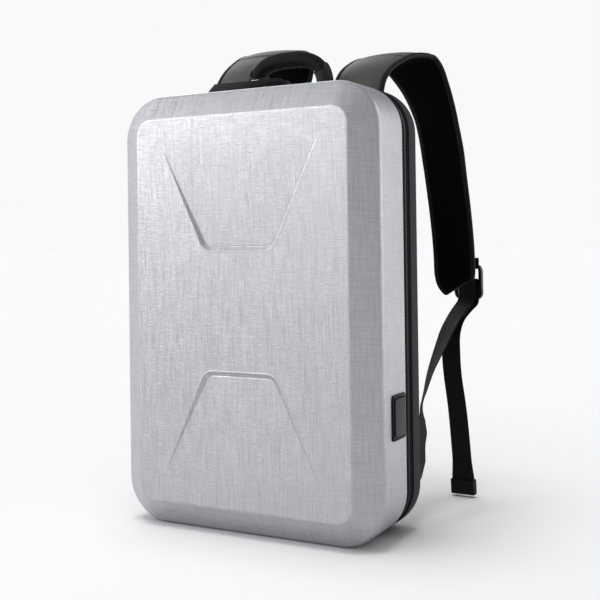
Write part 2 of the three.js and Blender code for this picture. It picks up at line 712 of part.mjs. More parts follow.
add('handle_grip', cut(grip, footPlate(-1, FIT), footPlate(1, FIT)), 'cloth');
add('handle_foot_left', cut(footPlate(-1, 0), rearForm(FIT)), 'webbing');
add('handle_foot_right', cut(footPlate(1, 0), rearForm(FIT)), 'webbing');

// Shoulder straps, one on each side, with their webbing, adjuster and lower tab

// Columns: out as a share of STRAP_REACH, rise as a share of STRAP_RISE above the case's
// top, drop as a share of STRAP_DROP below it, spread of STRAP_SPREAD, width of STRAP_WIDTH.
const STRAP_PATH = [
  { out: 0, rise: 0, drop: STRAP_SEWN, spread: 0, width: 0.74 },
  { out: 0.004, rise: 0, drop: 0.1, spread: 0, width: 0.78 },
  { out: 0.018, rise: 0.02, drop: 0, spread: 0, width: 0.79 },
  { out: 0.055, rise: 0.26, drop: 0, spread: 0, width: 0.81 },
  { out: 0.17, rise: 0.53, drop: 0, spread: 0, width: 0.85 },
  { out: 0.34, rise: 0.75, drop: 0, spread: 0.016, width: 0.91 },
  { out: 0.5, rise: 0.9, drop: 0, spread: 0.04, width: 0.96 },
  { out: 0.65, rise: 0.97, drop: 0, spread: 0.065, width: 1 },
  { out: 0.79, rise: 0.99, drop: 0, spread: 0.1, width: 0.98 },
  { out: 0.9, rise: 0.9, drop: 0, spread: 0.17, width: 0.92 },
  { out: 0.97, rise: 0.68, drop: 0, spread: 0.29, width: 0.83 },
  { out: 1, rise: 0.34, drop: 0, spread: 0.41, width: 0.74 },
  { out: 0.99, rise: 0, drop: 0.03, spread: 0.555, width: 0.68 },
  { out: 0.97, rise: 0, drop: 0.135, spread: 0.65, width: 0.67 },
  { out: 0.95, rise: 0, drop: 0.27, spread: 0.745, width: 0.68 },
  { out: 0.935, rise: 0, drop: 0.43, spread: 0.825, width: 0.665 },
  { out: 0.925, rise: 0, drop: 0.6, spread: 0.9, width: 0.66 },
  { out: 0.92, rise: 0, drop: 0.78, spread: 0.955, width: 0.655 },
  { out: 0.915, rise: 0, drop: 0.92, spread: 0.975, width: 0.65 },
  { out: 0.915, rise: 0, drop: 0.965, spread: 0.98, width: 0.6 },
  { out: 0.915, rise: 0, drop: 0.99, spread: 1, width: 0.5 },
  { out: 0.915, rise: 0, drop: 1, spread: 1.02, width: 0.4 },
];
const strapStart = REAR_Y + FIT + STRAP_THICK * CROWN / 2;

function shoulderStrap(side, sign) {
  const rows = STRAP_PATH.map((row) => new THREE.Vector3(
    sign * (STRAP_ANCHOR + row.spread * STRAP_SPREAD[side]),
    strapStart + row.out * STRAP_REACH[side],
    CASE_HEIGHT + row.rise * STRAP_RISE[side] - row.drop * STRAP_DROP,
  ));
  const path = smoothPath(rows);
  const last = STRAP_PATH.length - 1;
  const sections = Array.from({ length: STRAP_STATIONS + 1 }, (_, i) => {
    const t = i / STRAP_STATIONS;
    const row = Math.min(Math.floor(t * last), last - 1);
    const width = STRAP_WIDTH * THREE.MathUtils.lerp(
      STRAP_PATH[row].width,
      STRAP_PATH[row + 1].width,
      t * last - row,
    );
    return {
      at: path.getPoint(t),
      across: new THREE.Vector3(1, 0, 0),
      profile: paddedProfile(width, STRAP_THICK, STRAP_EDGE),
    };
  });
  return strip(sections);
}

const strapEnd = STRAP_PATH[STRAP_PATH.length - 1];

// How far back a strap's outer face lies, at a height on its hanging length.
function strapFaceAt(side, z) {
  const drop = (CASE_HEIGHT - z) / STRAP_DROP;
  const next = STRAP_PATH.findIndex((row, i) => row.out > 0.5 && row.drop >= drop && i > 0);
  const [a, b] = [STRAP_PATH[next - 1], STRAP_PATH[next]];
  const out = THREE.MathUtils.mapLinear(drop, a.drop, b.drop, a.out, b.out);
  return strapStart + out * STRAP_REACH[side] + STRAP_THICK * CROWN / 2;
}

// The adjuster's own directions: across its bars, through it and up it.
function adjusterFrame(side, sign) {
  const turn = ADJUSTER_TURN * RAD;
  const across = new THREE.Vector3(-sign * Math.sin(turn), Math.cos(turn), 0);
  const up = new THREE.Vector3(0, 0, 1);
  const through = new THREE.Vector3().crossVectors(across, up).multiplyScalar(sign);
  const middle = new THREE.Vector3(
    sign * (STRAP_ANCHOR + STRAP_SPREAD[side] + ADJUSTER_OUT),
    strapStart + strapEnd.out * STRAP_REACH[side] + ADJUSTER_OFF,
    CASE_HEIGHT - STRAP_DROP + ADJUSTER_UP,
  );
  const at = (u, n, l) => middle.clone()
    .addScaledVector(across, u).addScaledVector(through, n).addScaledVector(up, l);
  return { across, up, through, middle, at };
}

const barPitch = (ADJUSTER_LENGTH - ADJUSTER_BAR) / 2;

// A rounded frame with a bar across its middle
function adjuster(side, sign) {
  const frame = adjusterFrame(side, sign);
  const plate = (outline, thick) => loft([-1, 1].map((face) => outline
    .map(([u, l]) => frame.at(u, face * thick / 2, l))));
  const rim = roundedRectangle(ADJUSTER_WIDTH, ADJUSTER_LENGTH, ADJUSTER_CORNER, FINE_STEPS);
  const window = roundedRectangle(
    ADJUSTER_WIDTH - 2 * ADJUSTER_RAIL,
    ADJUSTER_LENGTH - 2 * ADJUSTER_BAR,
    ADJUSTER_CORNER - ADJUSTER_RAIL,
    FINE_STEPS,
  );
  const bar = roundedRectangle(ADJUSTER_WIDTH - ADJUSTER_RAIL, ADJUSTER_BAR, ADJUSTER_BAR / 4, 1);
  return join(cut(plate(rim, ADJUSTER_THICK), plate(window, 2 * ADJUSTER_THICK)), plate(bar, ADJUSTER_BAR));
}

const flatProfile = (width, thick) => [
  [-width / 2, -thick / 2], [width / 2, -thick / 2], [width / 2, thick / 2], [-width / 2, thick / 2],
];

// The loop's run from its sewn end down to the adjuster's upper bar. Columns: up as a share
// of LOOP_LENGTH above the bar, step as a share of LOOP_STEP.
const LOOP_PATH = [
  { up: 1, step: 1 },
  { up: 0.74, step: 0.85 },
  { up: 0.52, step: 0.6 },
];

// A short loop sewn to the strap's outer face holds the adjuster by its upper bar.
function adjusterLoop(side, sign) {
  const frame = adjusterFrame(side, sign);
  const sewn = LOOP_PATH.map(({ up, step }) => {
    const point = frame.at(0, 0, barPitch + up * LOOP_LENGTH);
    return {
      at: new THREE.Vector3(point.x - sign * step * LOOP_STEP, strapFaceAt(side, point.z) + WEB_THICK, point.z),
      across: new THREE.Vector3(-sign, 0, 0),
    };
  });
  const round = [frame.at(0, -BEND, barPitch + LOOP_BACK / 2)];
  for (let i = 0; i <= FINE_STEPS; i += 1) {
    const angle = Math.PI * (1 + i / FINE_STEPS);
    round.push(frame.at(0, BEND * Math.cos(angle), barPitch + BEND * Math.sin(angle)));
  }
  round.push(frame.at(0, BEND, barPitch + LOOP_BACK / 2), frame.at(0, BEND, barPitch + LOOP_BACK));
  const free = round.map((at) => ({ at, across: frame.across }));
  return strip([...sewn, ...free].map(({ at, across }) => ({
    at,
    across,
    profile: flatProfile(WEB_WIDTH, WEB_THICK),
  })));
}

// The taut stretch, from the tab up to the adjuster. Columns: back as a share of the way
// from the rear face to the adjuster, rise as a share of the height from the tab's foot,
// over as a share of the way sideways from the tab to the adjuster, sway as a share of
// WEB_SWAY, turn in degrees from facing sideways.
const TAUT_PATH = [
  { back: 0.12, rise: 0.12, over: 0, sway: 0, turn: 0 },
  { back: 0.125, rise: 0.2, over: 0, sway: 0, turn: 0 },
  { back: 0.16, rise: 0.28, over: 0, sway: -0.03, turn: 2 },
  { back: 0.235, rise: 0.343, over: 0.1, sway: 0.5, turn: 14 },
  { back: 0.307, rise: 0.394, over: 0.2, sway: 1.1, turn: 21 },
  { back: 0.39, rise: 0.468, over: 0.3, sway: 1.2, turn: 25 },
  { back: 0.487, rise: 0.542, over: 0.4, sway: 1.3, turn: 31 },
  { back: 0.583, rise: 0.611, over: 0.5, sway: 1.3, turn: 39 },
  { back: 0.68, rise: 0.685, over: 0.6, sway: 1.2, turn: 48 },
  { back: 0.775, rise: 0.759, over: 0.75, sway: 1.1, turn: 57 },
  { back: 0.89, rise: 0.84, over: 0.9, sway: 0.7, turn: 65 },
];

// The tail, from the adjuster down. Columns: drop as a share of the way to the tail's end,
// sway as a share of TAIL_SWAY, fore as a share of TAIL_FORE, turn in degrees.
const TAIL_PATH = [
  { drop: 0.108, sway: 0.12, fore: -0.08, turn: 73 },
  { drop: 0.135, sway: 0.45, fore: 0.2, turn: 75 },
  { drop: 0.175, sway: 0.9, fore: 0.6, turn: 77 },
  { drop: 0.24, sway: 1.15, fore: 0.9, turn: 79 },
  { drop: 0.34, sway: 1.1, fore: 1, turn: 78 },
  { drop: 0.436, sway: 0.98, fore: 1, turn: 77 },
  { drop: 0.58, sway: 0.67, fore: 0.9, turn: 79 },
  { drop: 0.747, sway: 0.5, fore: 0.74, turn: 81 },
  { drop: 0.909, sway: 0.35, fore: 0.65, turn: 84 },
  { drop: 1, sway: 0.31, fore: 0.61, turn: 86 },
];

const FOLD_WIDER = 1.12;     // the tail's folded end, as a share of the webbing's width
const FOLD_THICKER = 2.6;    // and of its thickness

function webbing(side, sign) {
  const frame = adjusterFrame(side, sign);
  const tabX = HALF - TAB_FROM_EDGE + TAB_THICK / 2 + FIT + WEB_THICK / 2;
  const top = frame.middle;
  const place = (x, y, z, turn) => ({
    at: new THREE.Vector3(sign * x, y, z),
    across: new THREE.Vector3(-sign * Math.sin(turn * RAD), Math.cos(turn * RAD), 0),
  });
  const taut = TAUT_PATH.map(({ back, rise, over, sway, turn }) => place(
    THREE.MathUtils.lerp(tabX, Math.abs(top.x), over) - sway * WEB_SWAY[side],
    THREE.MathUtils.lerp(REAR_Y, top.y, back),
    THREE.MathUtils.lerp(TAB_LOW, top.z, rise),
    turn,
  ));
  const tail = TAIL_PATH.map(({ drop, sway, fore, turn }) => place(
    Math.abs(top.x) - sway * TAIL_SWAY,
    top.y - fore * TAIL_FORE,
    THREE.MathUtils.lerp(top.z, TAIL_FLOOR, drop),
    turn,
  ));
  const round = [{ at: frame.at(0, -BEND, -barPitch), across: frame.across }];
  for (let i = 0; i <= FINE_STEPS; i += 1) {
    const angle = Math.PI * (1 - i / FINE_STEPS);
    round.push({ at: frame.at(0, BEND * Math.cos(angle), BEND * Math.sin(angle)), across: frame.across });
  }
  round.push({ at: frame.at(0, BEND, -barPitch), across: frame.across });
  const all = [...taut, ...round, ...tail];
  const path = smoothPath(all.map(({ at }) => at));
  const turns = smoothPath(all.map(({ across }) => across));
  const foldFrom = path.getPoint(1).z + TAIL_FOLD;
  const stations = Array.from({ length: WEB_STATIONS + 1 }, (_, i) => i / WEB_STATIONS);
  return strip(stations.map((t) => {
    const at = path.getPoint(t);
    const folded = t > 0.5 && at.z < foldFrom;
    return {
      at,
      across: turns.getPoint(t),
      profile: flatProfile(
        WEB_WIDTH * (folded ? FOLD_WIDER : 1),
        WEB_THICK * (folded ? FOLD_THICKER : 1),
      ),
    };
  }));
}

// A tab's outline. Columns: out as a share of TAB_LENGTH, up as a share of its height.
const TAB_OUTLINE = [
  { out: 0, up: 0 },
  { out: 0.68, up: 0.13 },
  { out: 1, up: 0.3 },
  { out: 1, up: 0.5 },
  { out: 0.47, up: 0.7 },
  { out: 0, up: 1 },
];

function lowerTab(sign) {
  return loft([-1, 1].map((face) => TAB_OUTLINE.map(({ out, up }) => new THREE.Vector3(
    sign * (HALF - TAB_FROM_EDGE) + face * TAB_THICK / 2,
    REAR_Y + FIT + out * TAB_LENGTH,
    THREE.MathUtils.lerp(TAB_LOW, TAB_HIGH, up),
  ))));
}

[['left', -1], ['right', 1]].forEach(([side, sign]) => {
  add(`shoulder_strap_${side}`, shoulderStrap(side, sign), 'cloth');
  add(`adjuster_loop_${side}`, adjusterLoop(side, sign), 'webbing');
  add(`adjuster_${side}`, adjuster(side, sign), 'gloss');
  add(`webbing_${side}`, webbing(side, sign), 'webbing');
  add(`lower_tab_${side}`, lowerTab(sign), 'cloth');
});

export default pieces;
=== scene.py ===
"""Looks of a hard shell backpack: its moulded halves, zip, lock, port, handle, straps and webbing."""

import math

import bmesh
import bpy
import numpy as np
from bpy.props import FloatProperty, FloatVectorProperty, IntProperty, PointerProperty
from mathutils import Matrix, Vector
from mathutils.geometry import tessellate_polygon


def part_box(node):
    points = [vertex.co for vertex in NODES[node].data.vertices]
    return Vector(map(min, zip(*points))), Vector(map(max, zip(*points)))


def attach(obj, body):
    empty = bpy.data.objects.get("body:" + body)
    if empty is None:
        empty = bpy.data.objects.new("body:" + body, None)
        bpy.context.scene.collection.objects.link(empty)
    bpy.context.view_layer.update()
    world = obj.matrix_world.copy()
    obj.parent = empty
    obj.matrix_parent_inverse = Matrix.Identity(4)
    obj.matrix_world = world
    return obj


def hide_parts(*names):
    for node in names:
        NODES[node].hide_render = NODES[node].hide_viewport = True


bl_info = {
    "name": "Hard shell backpack",
    "version": (1, 0, 0),
    "blender": (4, 5, 0),
    "location": "View3D > Sidebar > Backpack",
    "description": "Builds the visible pieces of a hard shell backpack round its rigid frame",
    "category": "Object",
}

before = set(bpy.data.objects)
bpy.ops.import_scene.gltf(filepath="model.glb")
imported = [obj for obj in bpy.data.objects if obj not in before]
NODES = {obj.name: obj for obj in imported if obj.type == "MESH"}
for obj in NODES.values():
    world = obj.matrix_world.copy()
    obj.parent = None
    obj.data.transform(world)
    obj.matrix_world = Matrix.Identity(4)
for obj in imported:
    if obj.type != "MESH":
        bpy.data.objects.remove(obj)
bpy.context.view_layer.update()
MM = 0.001
SHELL_LOW, SHELL_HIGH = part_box("front_shell")
REAR_LOW, REAR_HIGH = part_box("back_shell")
HALF = SHELL_HIGH.x
HEIGHT = SHELL_HIGH.z
FRONT_Y, RIM_Y = SHELL_LOW.y, SHELL_HIGH.y
REAR_RIM_Y, REAR_Y = REAR_LOW.y, REAR_HIGH.y


# Colours


def linear(hex_colour):
    """An sRGB hex colour as linear red, green and blue."""
    shares = [int(hex_colour[i:i + 2], 16) / 255 for i in (1, 3, 5)]
    return [s / 12.92 if s <= 0.04045 else ((s + 0.055) / 1.055) ** 2.4 for s in shares]


def length(name, description, default_mm, low_mm=0.0, high_mm=2000.0):
    """A length that a user may change, given in millimetres and kept in metres."""
    return FloatProperty(
        name=name, description=description, default=default_mm * MM,
        min=low_mm * MM, max=high_mm * MM, unit="LENGTH", precision=4,
    )


def proportion(name, description, default, low, high):
    """A proportion that a user may change."""
    return FloatProperty(
        name=name, description=description, default=default, min=low, max=high, subtype="FACTOR",
    )


def colour(name, description, hex_colour):
    """A colour that a user may change."""
    return FloatVectorProperty(
        name=name, description=description, subtype="COLOR", size=3,
        default=linear(hex_colour), min=0.0, max=1.0,
    )


class BackpackCaseSizes(bpy.types.PropertyGroup):
    """Sizes of the two moulded halves."""

    corner: length("Case corner", "Corner radius of the case seen from the front", 48)
    bevel: length("Bevel", "Width of the sloping band round the front panel", 27.5)
    panel_corner: length("Panel corner", "Corner radius of the front panel", 17)
    panel_depth: length("Bevel depth", "Depth of the sloping band", 17)
    panel_round: length("Panel edge rounding", "Radius where the panel meets its bevel", 5.5)
    ridge_round: length("Ridge rounding", "Radius where the bevel meets the side wall", 8)
    rear_round: length("Rear edge rounding", "Radius of the rear half's edge", 15)
    wall: length("Shell wall", "Thickness of the moulded shells", 2.5)
    facet_depth: length("Facet depth", "Depth of a facet at its base", 3.5)
    facet_reach: length("Facet reach", "Height over which a facet fades out", 110)
    facet_base: length("Facet base", "Half width of a facet's base", 39.5)
    facet_end: length("Facet end", "Half width of a facet's far end", 93)
    facet_offset: length("Facet offset", "From the panel's middle to a facet's base", 64.5)
    facet_corner: length("Facet corner", "Corner radius at a facet's base", 13)
    facet_round: length("Facet rounding", "Radius along a facet's edges", 1.1)
    facet_lip: proportion("Facet lip", "Proud edge of a facet as a share of its depth", 0.1, 0, 0.4)
    facet_slope: proportion("Facet slope", "Width of a facet's sloping wall for each depth", 1.1, 0.5, 3)


class BackpackZipSizes(bpy.types.PropertyGroup):
    """Sizes of the zip band."""

    tape_width: length("Tape width", "Width of each cloth tape beside the chain", 5.6)
    rear_share: proportion("Rear tape", "Width of the rear tape as a share of the front one", 0.72, 0.2, 1.5)
    tape_inset: length("Tape inset", "Depth of the tapes below the shells' sides", 0.9)
    tape_thick: length("Tape thickness", "Thickness of the padded tape", 1.4)
    pitch: length("Tooth pitch", "Distance between the zip's teeth", 1.6)
    stitch: length("Stitch pitch", "Distance between stitches", 3.6)
    stitch_long: length("Stitch length", "Length of one stitch", 2.5)
    thread: length("Thread", "Thickness of the sewing thread", 0.45)


class BackpackClothSizes(bpy.types.PropertyGroup):
    """Sizes of the straps, the handle and the pad."""

    strap_bind: length("Strap binding", "Width of the binding along a strap's edges", 5.5)
    strap_bead: length("Binding bead", "Half thickness of the binding", 2.6)
    strap_seam: proportion("Strap seam", "Share of a strap's length at its cross seam", 0.262, 0.05, 0.95)
    grip_thick: length("Grip thickness", "Thickness of the carry handle at its middle", 18)
    sleeve_proud: length("Sleeve", "How far the sleeves at the grip's ends stand out from it", 1.2)
    sleeve_share: proportion("Sleeve length", "Share of the arch under each sleeve", 0.13, 0.02, 0.4)
    web_ribs: IntProperty(name="Webbing ribs", description="Ribs across the webbing",
                          default=5, min=1, max=12)
    web_rib: length("Rib height", "Height of the webbing's ribs", 0.4)
    fold: length("Fold", "Length of the fold at the webbing's end", 17)
    pad_puff: length("Pad puff", "How far the back pad may swell", 7)


class BackpackHardwareSizes(bpy.types.PropertyGroup):
    """Sizes of the lock, the port and the adjusters."""

    edge_round: length("Edge rounding", "Rounding of moulded edges", 0.7)
    port_round: length("Port rounding", "Rounding of the port's edges", 1.2)
    knurls: IntProperty(name="Dial knurls", description="Ridges round each dial", default=20, min=8, max=60)
    digit: length("Digit height", "Height of the dials' digits", 2.3)


class BackpackColours(bpy.types.PropertyGroup):
    """Colours of the backpack."""

    silver: colour("Silver shell", "Lacquer of the front shell", "#BABABD")
    # painted shade: a darker silver laid into the embossed lines, where shade falls in the hollows
    silver_dark: colour("Silver hollows", "Painted shade in the embossed lines", "#A0A2A7")
    rear: colour("Rear cloth", "Cloth on the rear half", "#222224")
    zip: colour("Zip cloth", "Tapes of the zip", "#141416")
    strap: colour("Strap cloth", "Outer face of the straps", "#3B3734")
    mesh: colour("Strap lining", "Inner face of the straps", "#0C0C0D")
    pad: colour("Pad mesh", "Mesh of the back pad", "#1F1F21")
    webbing: colour("Webbing", "Webbing and bindings", "#151516")
    gloss: colour("Gloss black", "Lock, port and adjusters", "#0B0B0D")
    rubber: colour("Port cover", "Soft cover of the port", "#2E2E33")
    metal: colour("Bright metal", "Chromed parts of the lock", "#D5D6D8")
    floor: colour("Floor", "Floor and background", "#F6F6F6")


class BackpackStageSizes(bpy.types.PropertyGroup):
    """The studio round the backpack."""

    floor_size: length("Floor size", "Half width of the floor", 30000, 1000, 100000)
    lens: FloatProperty(name="Lens", description="Focal length in millimetres", default=60, min=10, max=200,
                        unit="CAMERA")


def sizes(group):
    """The property group of that name, such as case, zip, cloth, hardware, colours or stage."""
    return getattr(bpy.context.scene, "backpack_" + group)


# Shader nodes


def add(tree, kind, links=None, **settings):
    """Adds a node: settings are its own, links gives each input a value or another node's socket."""
    made = tree.nodes.new(kind)
    for name, value in settings.items():
        setattr(made, name, value)
    for name, value in (links or {}).items():
        socket = made.inputs[name]
        if isinstance(value, bpy.types.NodeSocket):
            tree.links.new(value, socket)
        else:
            socket.default_value = value
    return made


def blank_material(name):
    """A new material and its node tree, with no nodes in it yet."""
    material = bpy.data.materials.new(name)
    material.use_nodes = True
    material.node_tree.nodes.clear()
    return material, material.node_tree


def finish_material(tree, surface, bump, strength, distance):
    """Links a shader to the output, with a bump from a height socket if there is one."""
    if bump is not None:
        relief = add(tree, "ShaderNodeBump", {"Height": bump, "Strength": strength, "Distance": distance})
        tree.links.new(relief.outputs["Normal"], surface.inputs["Normal"])
    add(tree, "ShaderNodeOutputMaterial", {"Surface": surface.outputs["BSDF"]})


def cloudy_noise(tree, place, size, lift):
    """Even noise over the UV map, its size in metres and lift its place in the pattern."""
    mapping = add(tree, "ShaderNodeMapping", {
        "Vector": place, "Location": (lift, lift, lift), "Scale": (1 / size, 1 / size, 1.0),
    })
    return add(tree, "ShaderNodeTexNoise", {
        "Vector": mapping.outputs["Vector"], "Scale": 1.0, "Detail": 3.0, "Roughness": 0.6,
    }, noise_dimensions="2D").outputs["Fac"]


def drawn_threads(tree, place, axis, wide, long, lift):
    """Noise drawn out into straight threads, side by side along an axis of the UV map."""
    steps = []
    skew = 1.618  # shifts each thread along by an uneven share of its length
    for across, along in ((1.0, 0.0), (skew, 1.0)):
        pace = [0.0, 0.0, 0.0]
        pace[axis], pace[1 - axis] = across / wide, along / long
        step = add(tree, "ShaderNodeVectorMath", {0: place}, operation="DOT_PRODUCT")
        step.inputs[1].default_value = pace
        steps.append(step.outputs["Value"])
    both = add(tree, "ShaderNodeCombineXYZ", {"X": steps[0], "Y": steps[1], "Z": lift})
    return add(tree, "ShaderNodeTexNoise", {
        "Vector": both.outputs["Vector"], "Scale": 1.0, "Detail": 2.0, "Roughness": 0.6,
    }).outputs["Fac"]


def silver_lacquer():
    """Embossed ABS under silver lacquer: a soft satin glow, broken by fine crossed lines like linen, which
    are bumped and also painted darker as the shade in their hollows.
    """
    material, tree = blank_material("silver lacquered ABS, linen emboss")
    place = add(tree, "ShaderNodeUVMap", uv_map="Cloth").outputs["UV"]
    line_wide, line_long = 0.0008, 0.016
    heights = []
    for axis, lift in ((0, 3.7), (1, 9.1)):
        lines = drawn_threads(tree, place, axis, line_wide, line_long, lift)
        sharp = add(tree, "ShaderNodeMapRange", {
            "Value": lines, "From Min": 0.46, "From Max": 0.66,
        }, interpolation_type="SMOOTHSTEP")
        heights.append(sharp.outputs["Result"])
    both = add(tree, "ShaderNodeMath", dict(enumerate(heights)), operation="MAXIMUM")
    # painted shade: the embossed lines are coloured darker than the lacquer round them
    shade = add(tree, "ShaderNodeMix", {
        "Factor": both.outputs[0],
        "A": (*sizes("colours").silver, 1),
        "B": (*sizes("colours").silver_dark, 1),
    }, data_type="RGBA")
    surface = add(tree, "ShaderNodeBsdfPrincipled", {
        "Base Color": shade.outputs["Result"], "Metallic": 0.7, "Roughness": 0.4, "IOR": 1.5,
        "Coat Weight": 0.1, "Coat Roughness": 0.3,
    })
    turned = add(tree, "ShaderNodeMath", {0: 1.0, 1: both.outputs[0]}, operation="SUBTRACT")
    finish_material(tree, surface, turned.outputs[0], 0.5, 0.00016)
    return material


def woven_cloth(name, base, thread, rough, relief, gloss):
    """Woven polyester: threads over and under at the given spacing, drawn a little coarser than real so that
    they show, with matt black yarn whose crowns are painted lighter as a highlight, broken up by random
    flecks."""
    material, tree = blank_material(name)
    place = add(tree, "ShaderNodeUVMap", uv_map="Cloth").outputs["UV"]
    bands = 2 * math.pi / (thread * 20)  # the wave texture's scale that gives this spacing
    waves = []
    for direction in ("X", "Y"):
        waves.append(add(tree, "ShaderNodeTexWave", {
            "Vector": place, "Scale": bands, "Distortion": 0.6, "Detail": 1.0,
            "Detail Scale": 3.0,
        }, bands_direction=direction).outputs["Fac"])
    weave = add(tree, "ShaderNodeMath", dict(enumerate(waves)), operation="MULTIPLY")
    fleck = cloudy_noise(tree, place, 0.004, 5.0)
    # painted highlight: each thread's crown is coloured lighter than the yarn, broken up by random flecks
    crown = [min(1.0, c * 1.3 + 0.004) for c in base]
    tone = add(tree, "ShaderNodeMath", {0: weave.outputs[0], 1: fleck}, operation="MULTIPLY")
    shade = add(tree, "ShaderNodeMix", {
        "Factor": tone.outputs[0], "A": (*base, 1), "B": (*crown, 1),
    }, data_type="RGBA")
    surface = add(tree, "ShaderNodeBsdfPrincipled", {
        "Base Color": shade.outputs["Result"], "Roughness": rough, "IOR": 1.45, "Specular IOR Level": gloss,
    })
    finish_material(tree, surface, weave.outputs[0], relief, thread * 0.2)
    return material


def spacer_mesh(name, base, gloss):
    """Knitted spacer mesh: near black, with rows of small round holes, each painted darker as the shade
    inside it. The holes are drawn a little coarser than real so that they show."""
    material, tree = blank_material(name)
    place = add(tree, "ShaderNodeUVMap", uv_map="Cloth").outputs["UV"]
    hole_pitch = 0.0024
    cells = add(tree, "ShaderNodeTexVoronoi", {
        "Vector": place, "Scale": 1 / hole_pitch, "Randomness": 0.25,
    }, voronoi_dimensions="2D")
    holes = add(tree, "ShaderNodeMapRange", {
        "Value": cells.outputs["Distance"], "From Min": 0.2, "From Max": 0.42,
    })
    # painted shade: the middle of each hole is coloured at about a third of the mesh's tone
    shade = add(tree, "ShaderNodeMix", {
        "Factor": holes.outputs["Result"], "A": (*[c * 0.35 for c in base], 1), "B": (*base, 1),
    }, data_type="RGBA")
    surface = add(tree, "ShaderNodeBsdfPrincipled", {
        "Base Color": shade.outputs["Result"], "Roughness": 0.9, "IOR": 1.45, "Specular IOR Level": gloss,
    })
    finish_material(tree, surface, holes.outputs["Result"], 0.5, 0.0005)
    return material


def plain_finish(name, base, rough=0.3, ior=1.5, grain=None, gloss=0.5, metallic=0.0):
    """A moulded, plated or rubber surface, with a very fine grain where the real one has it."""
    material, tree = blank_material(name)
    surface = add(tree, "ShaderNodeBsdfPrincipled", {
        "Base Color": (*base, 1), "Metallic": metallic, "Roughness": rough, "IOR": ior,
        "Specular IOR Level": gloss,
    })
    bump = None
    if grain:
        place = add(tree, "ShaderNodeTexCoord").outputs["Object"]
        noise = add(tree, "ShaderNodeTexNoise", {"Vector": place, "Scale": 1 / grain, "Detail": 2.0})
        bump = noise.outputs["Fac"]
    finish_material(tree, surface, bump, 0.12, 0.00005)
    return material


FINISHES = {}


def finish(name):
    """The material of that name, made the first time that it is asked for."""
    colours = sizes("colours")
    makers = {
        # satin silver lacquer over linen-embossed ABS
        "silver": silver_lacquer,
        # polyester cloth on the moulded rear half: matt, with a fine weave
        "rear": lambda: woven_cloth("woven polyester, rear half", colours.rear, 0.0016, 0.75, 0.4, 0.3),
        # dense zip tape: darker and tighter than the rear cloth
        "zip": lambda: woven_cloth("zip tape polyester", colours.zip, 0.0012, 0.9, 0.3, 0.03),
        # twill on the straps' outer faces: warm grey-brown where light grazes it
        "strap": lambda: woven_cloth("strap twill", colours.strap, 0.0016, 0.6, 0.4, 0.6),
        # soft knitted cover of the grip: near black
        "grip": lambda: woven_cloth("soft grip cover", colours.webbing, 0.0016, 0.7, 0.4, 0.12),
        # heavier cloth sewn round the grip's ends: a little lighter
        "sleeve": lambda: woven_cloth("handle sleeve cloth", colours.rear, 0.0016, 0.75, 0.4, 0.3),
        # knitted lining of the straps: it drinks nearly all light
        "mesh": lambda: spacer_mesh("knitted spacer mesh", colours.mesh, 0.03),
        # the pad's thicker knit: a little greyer, so that its swelling shows
        "pad": lambda: spacer_mesh("thick knitted pad mesh", colours.pad, 0.3),
        # nylon webbing and bindings: a slight sheen along the yarn
        "webbing": lambda: woven_cloth("nylon webbing", colours.webbing, 0.0014, 0.6, 0.3, 0.12),
        # injection moulded, polished ABS: deep black that hardly mirrors the studio
        "gloss": lambda: plain_finish("polished black ABS", colours.gloss, gloss=0.06),
        # acetal adjusters: black with brighter, softer highlights than the lock's
        "acetal": lambda: plain_finish("black acetal", colours.gloss, 0.24, 1.48, 0.0006, 0.22),
        # soft rubber over the port: charcoal with a dull sheen
        "rubber": lambda: plain_finish("soft port rubber", colours.rubber, 0.45, 1.52, 0.0005, 0.15),
        # bright chrome plate: mirror-like with a slight haze
        "metal": lambda: plain_finish("bright chrome plate", colours.metal, 0.16, metallic=1.0),
        # moulded nylon coil of the zip: dark, with a small glint on each tooth
        "teeth": lambda: plain_finish("nylon zip coil", colours.zip, 0.4, 1.53),
        # polyester sewing thread, a little lighter than the cloth round it
        "thread": lambda: plain_finish("sewing thread", [c * 2.2 for c in colours.webbing], 0.6),
        # enamel in the dials' digits: plain black against the chrome
        "digit": lambda: plain_finish("black enamel in the digits", colours.gloss),
        # plain paper sweep: nearly white and without a sheen
        "floor": lambda: plain_finish("pale studio floor", colours.floor, 0.9, 1.2, gloss=0.0),
    }
    if name not in FINISHES:
        FINISHES[name] = makers[name]()
    return FINISHES[name]


# Meshes


def lit_group(name):
    """The collection of that name, which a light may be kept to."""
    return bpy.data.collections.get(name) or bpy.data.collections.new(name)


def placed(name, data):
    """A new object with that data, linked to the scene."""
    made = bpy.data.objects.new(name, data)
    bpy.context.scene.collection.objects.link(made)
    return made


def keep(name, mesh, body, replaced=(), finishes=()):
    """Links a finished mesh as a piece that rides on a body and stands for nodes of the frame."""
    mesh.name = name
    piece = placed(name, mesh)
    lit_group("backpack pieces" if body else "floor pieces").objects.link(piece)
    for material in finishes:
        mesh.materials.append(finish(material))
    mesh.shade_smooth()
    mesh.set_sharp_from_angle(angle=math.radians(38))
    if body:
        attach(piece, body)
    if replaced:
        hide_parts(*replaced)
    return piece


def box_uv(mesh):
    """A UV map in metres that looks along whichever axis each face points along."""
    layer = mesh.uv_layers.get("Cloth") or mesh.uv_layers.new(name="Cloth")
    views = {0: (1, 2), 1: (0, 2), 2: (0, 1)}
    for face in mesh.polygons:
        a, b = views[max(range(3), key=lambda k: abs(face.normal[k]))]
        for corner in face.loop_indices:
            place = mesh.vertices[mesh.loops[corner].vertex_index].co
            layer.data[corner].uv = (place[a], place[b])
    return mesh


def opened(mesh, distance=1e-6):
    """A mesh opened for editing, with its touching points joined."""
    bm = bmesh.new()
    bm.from_mesh(mesh)
    bmesh.ops.remove_doubles(bm, verts=bm.verts, dist=distance)
    return bm


def closed(bm, name):
    """A new mesh of what was edited, which is then freed."""
    mesh = bpy.data.meshes.new(name)
    bm.to_mesh(mesh)
    bm.free()
    return mesh


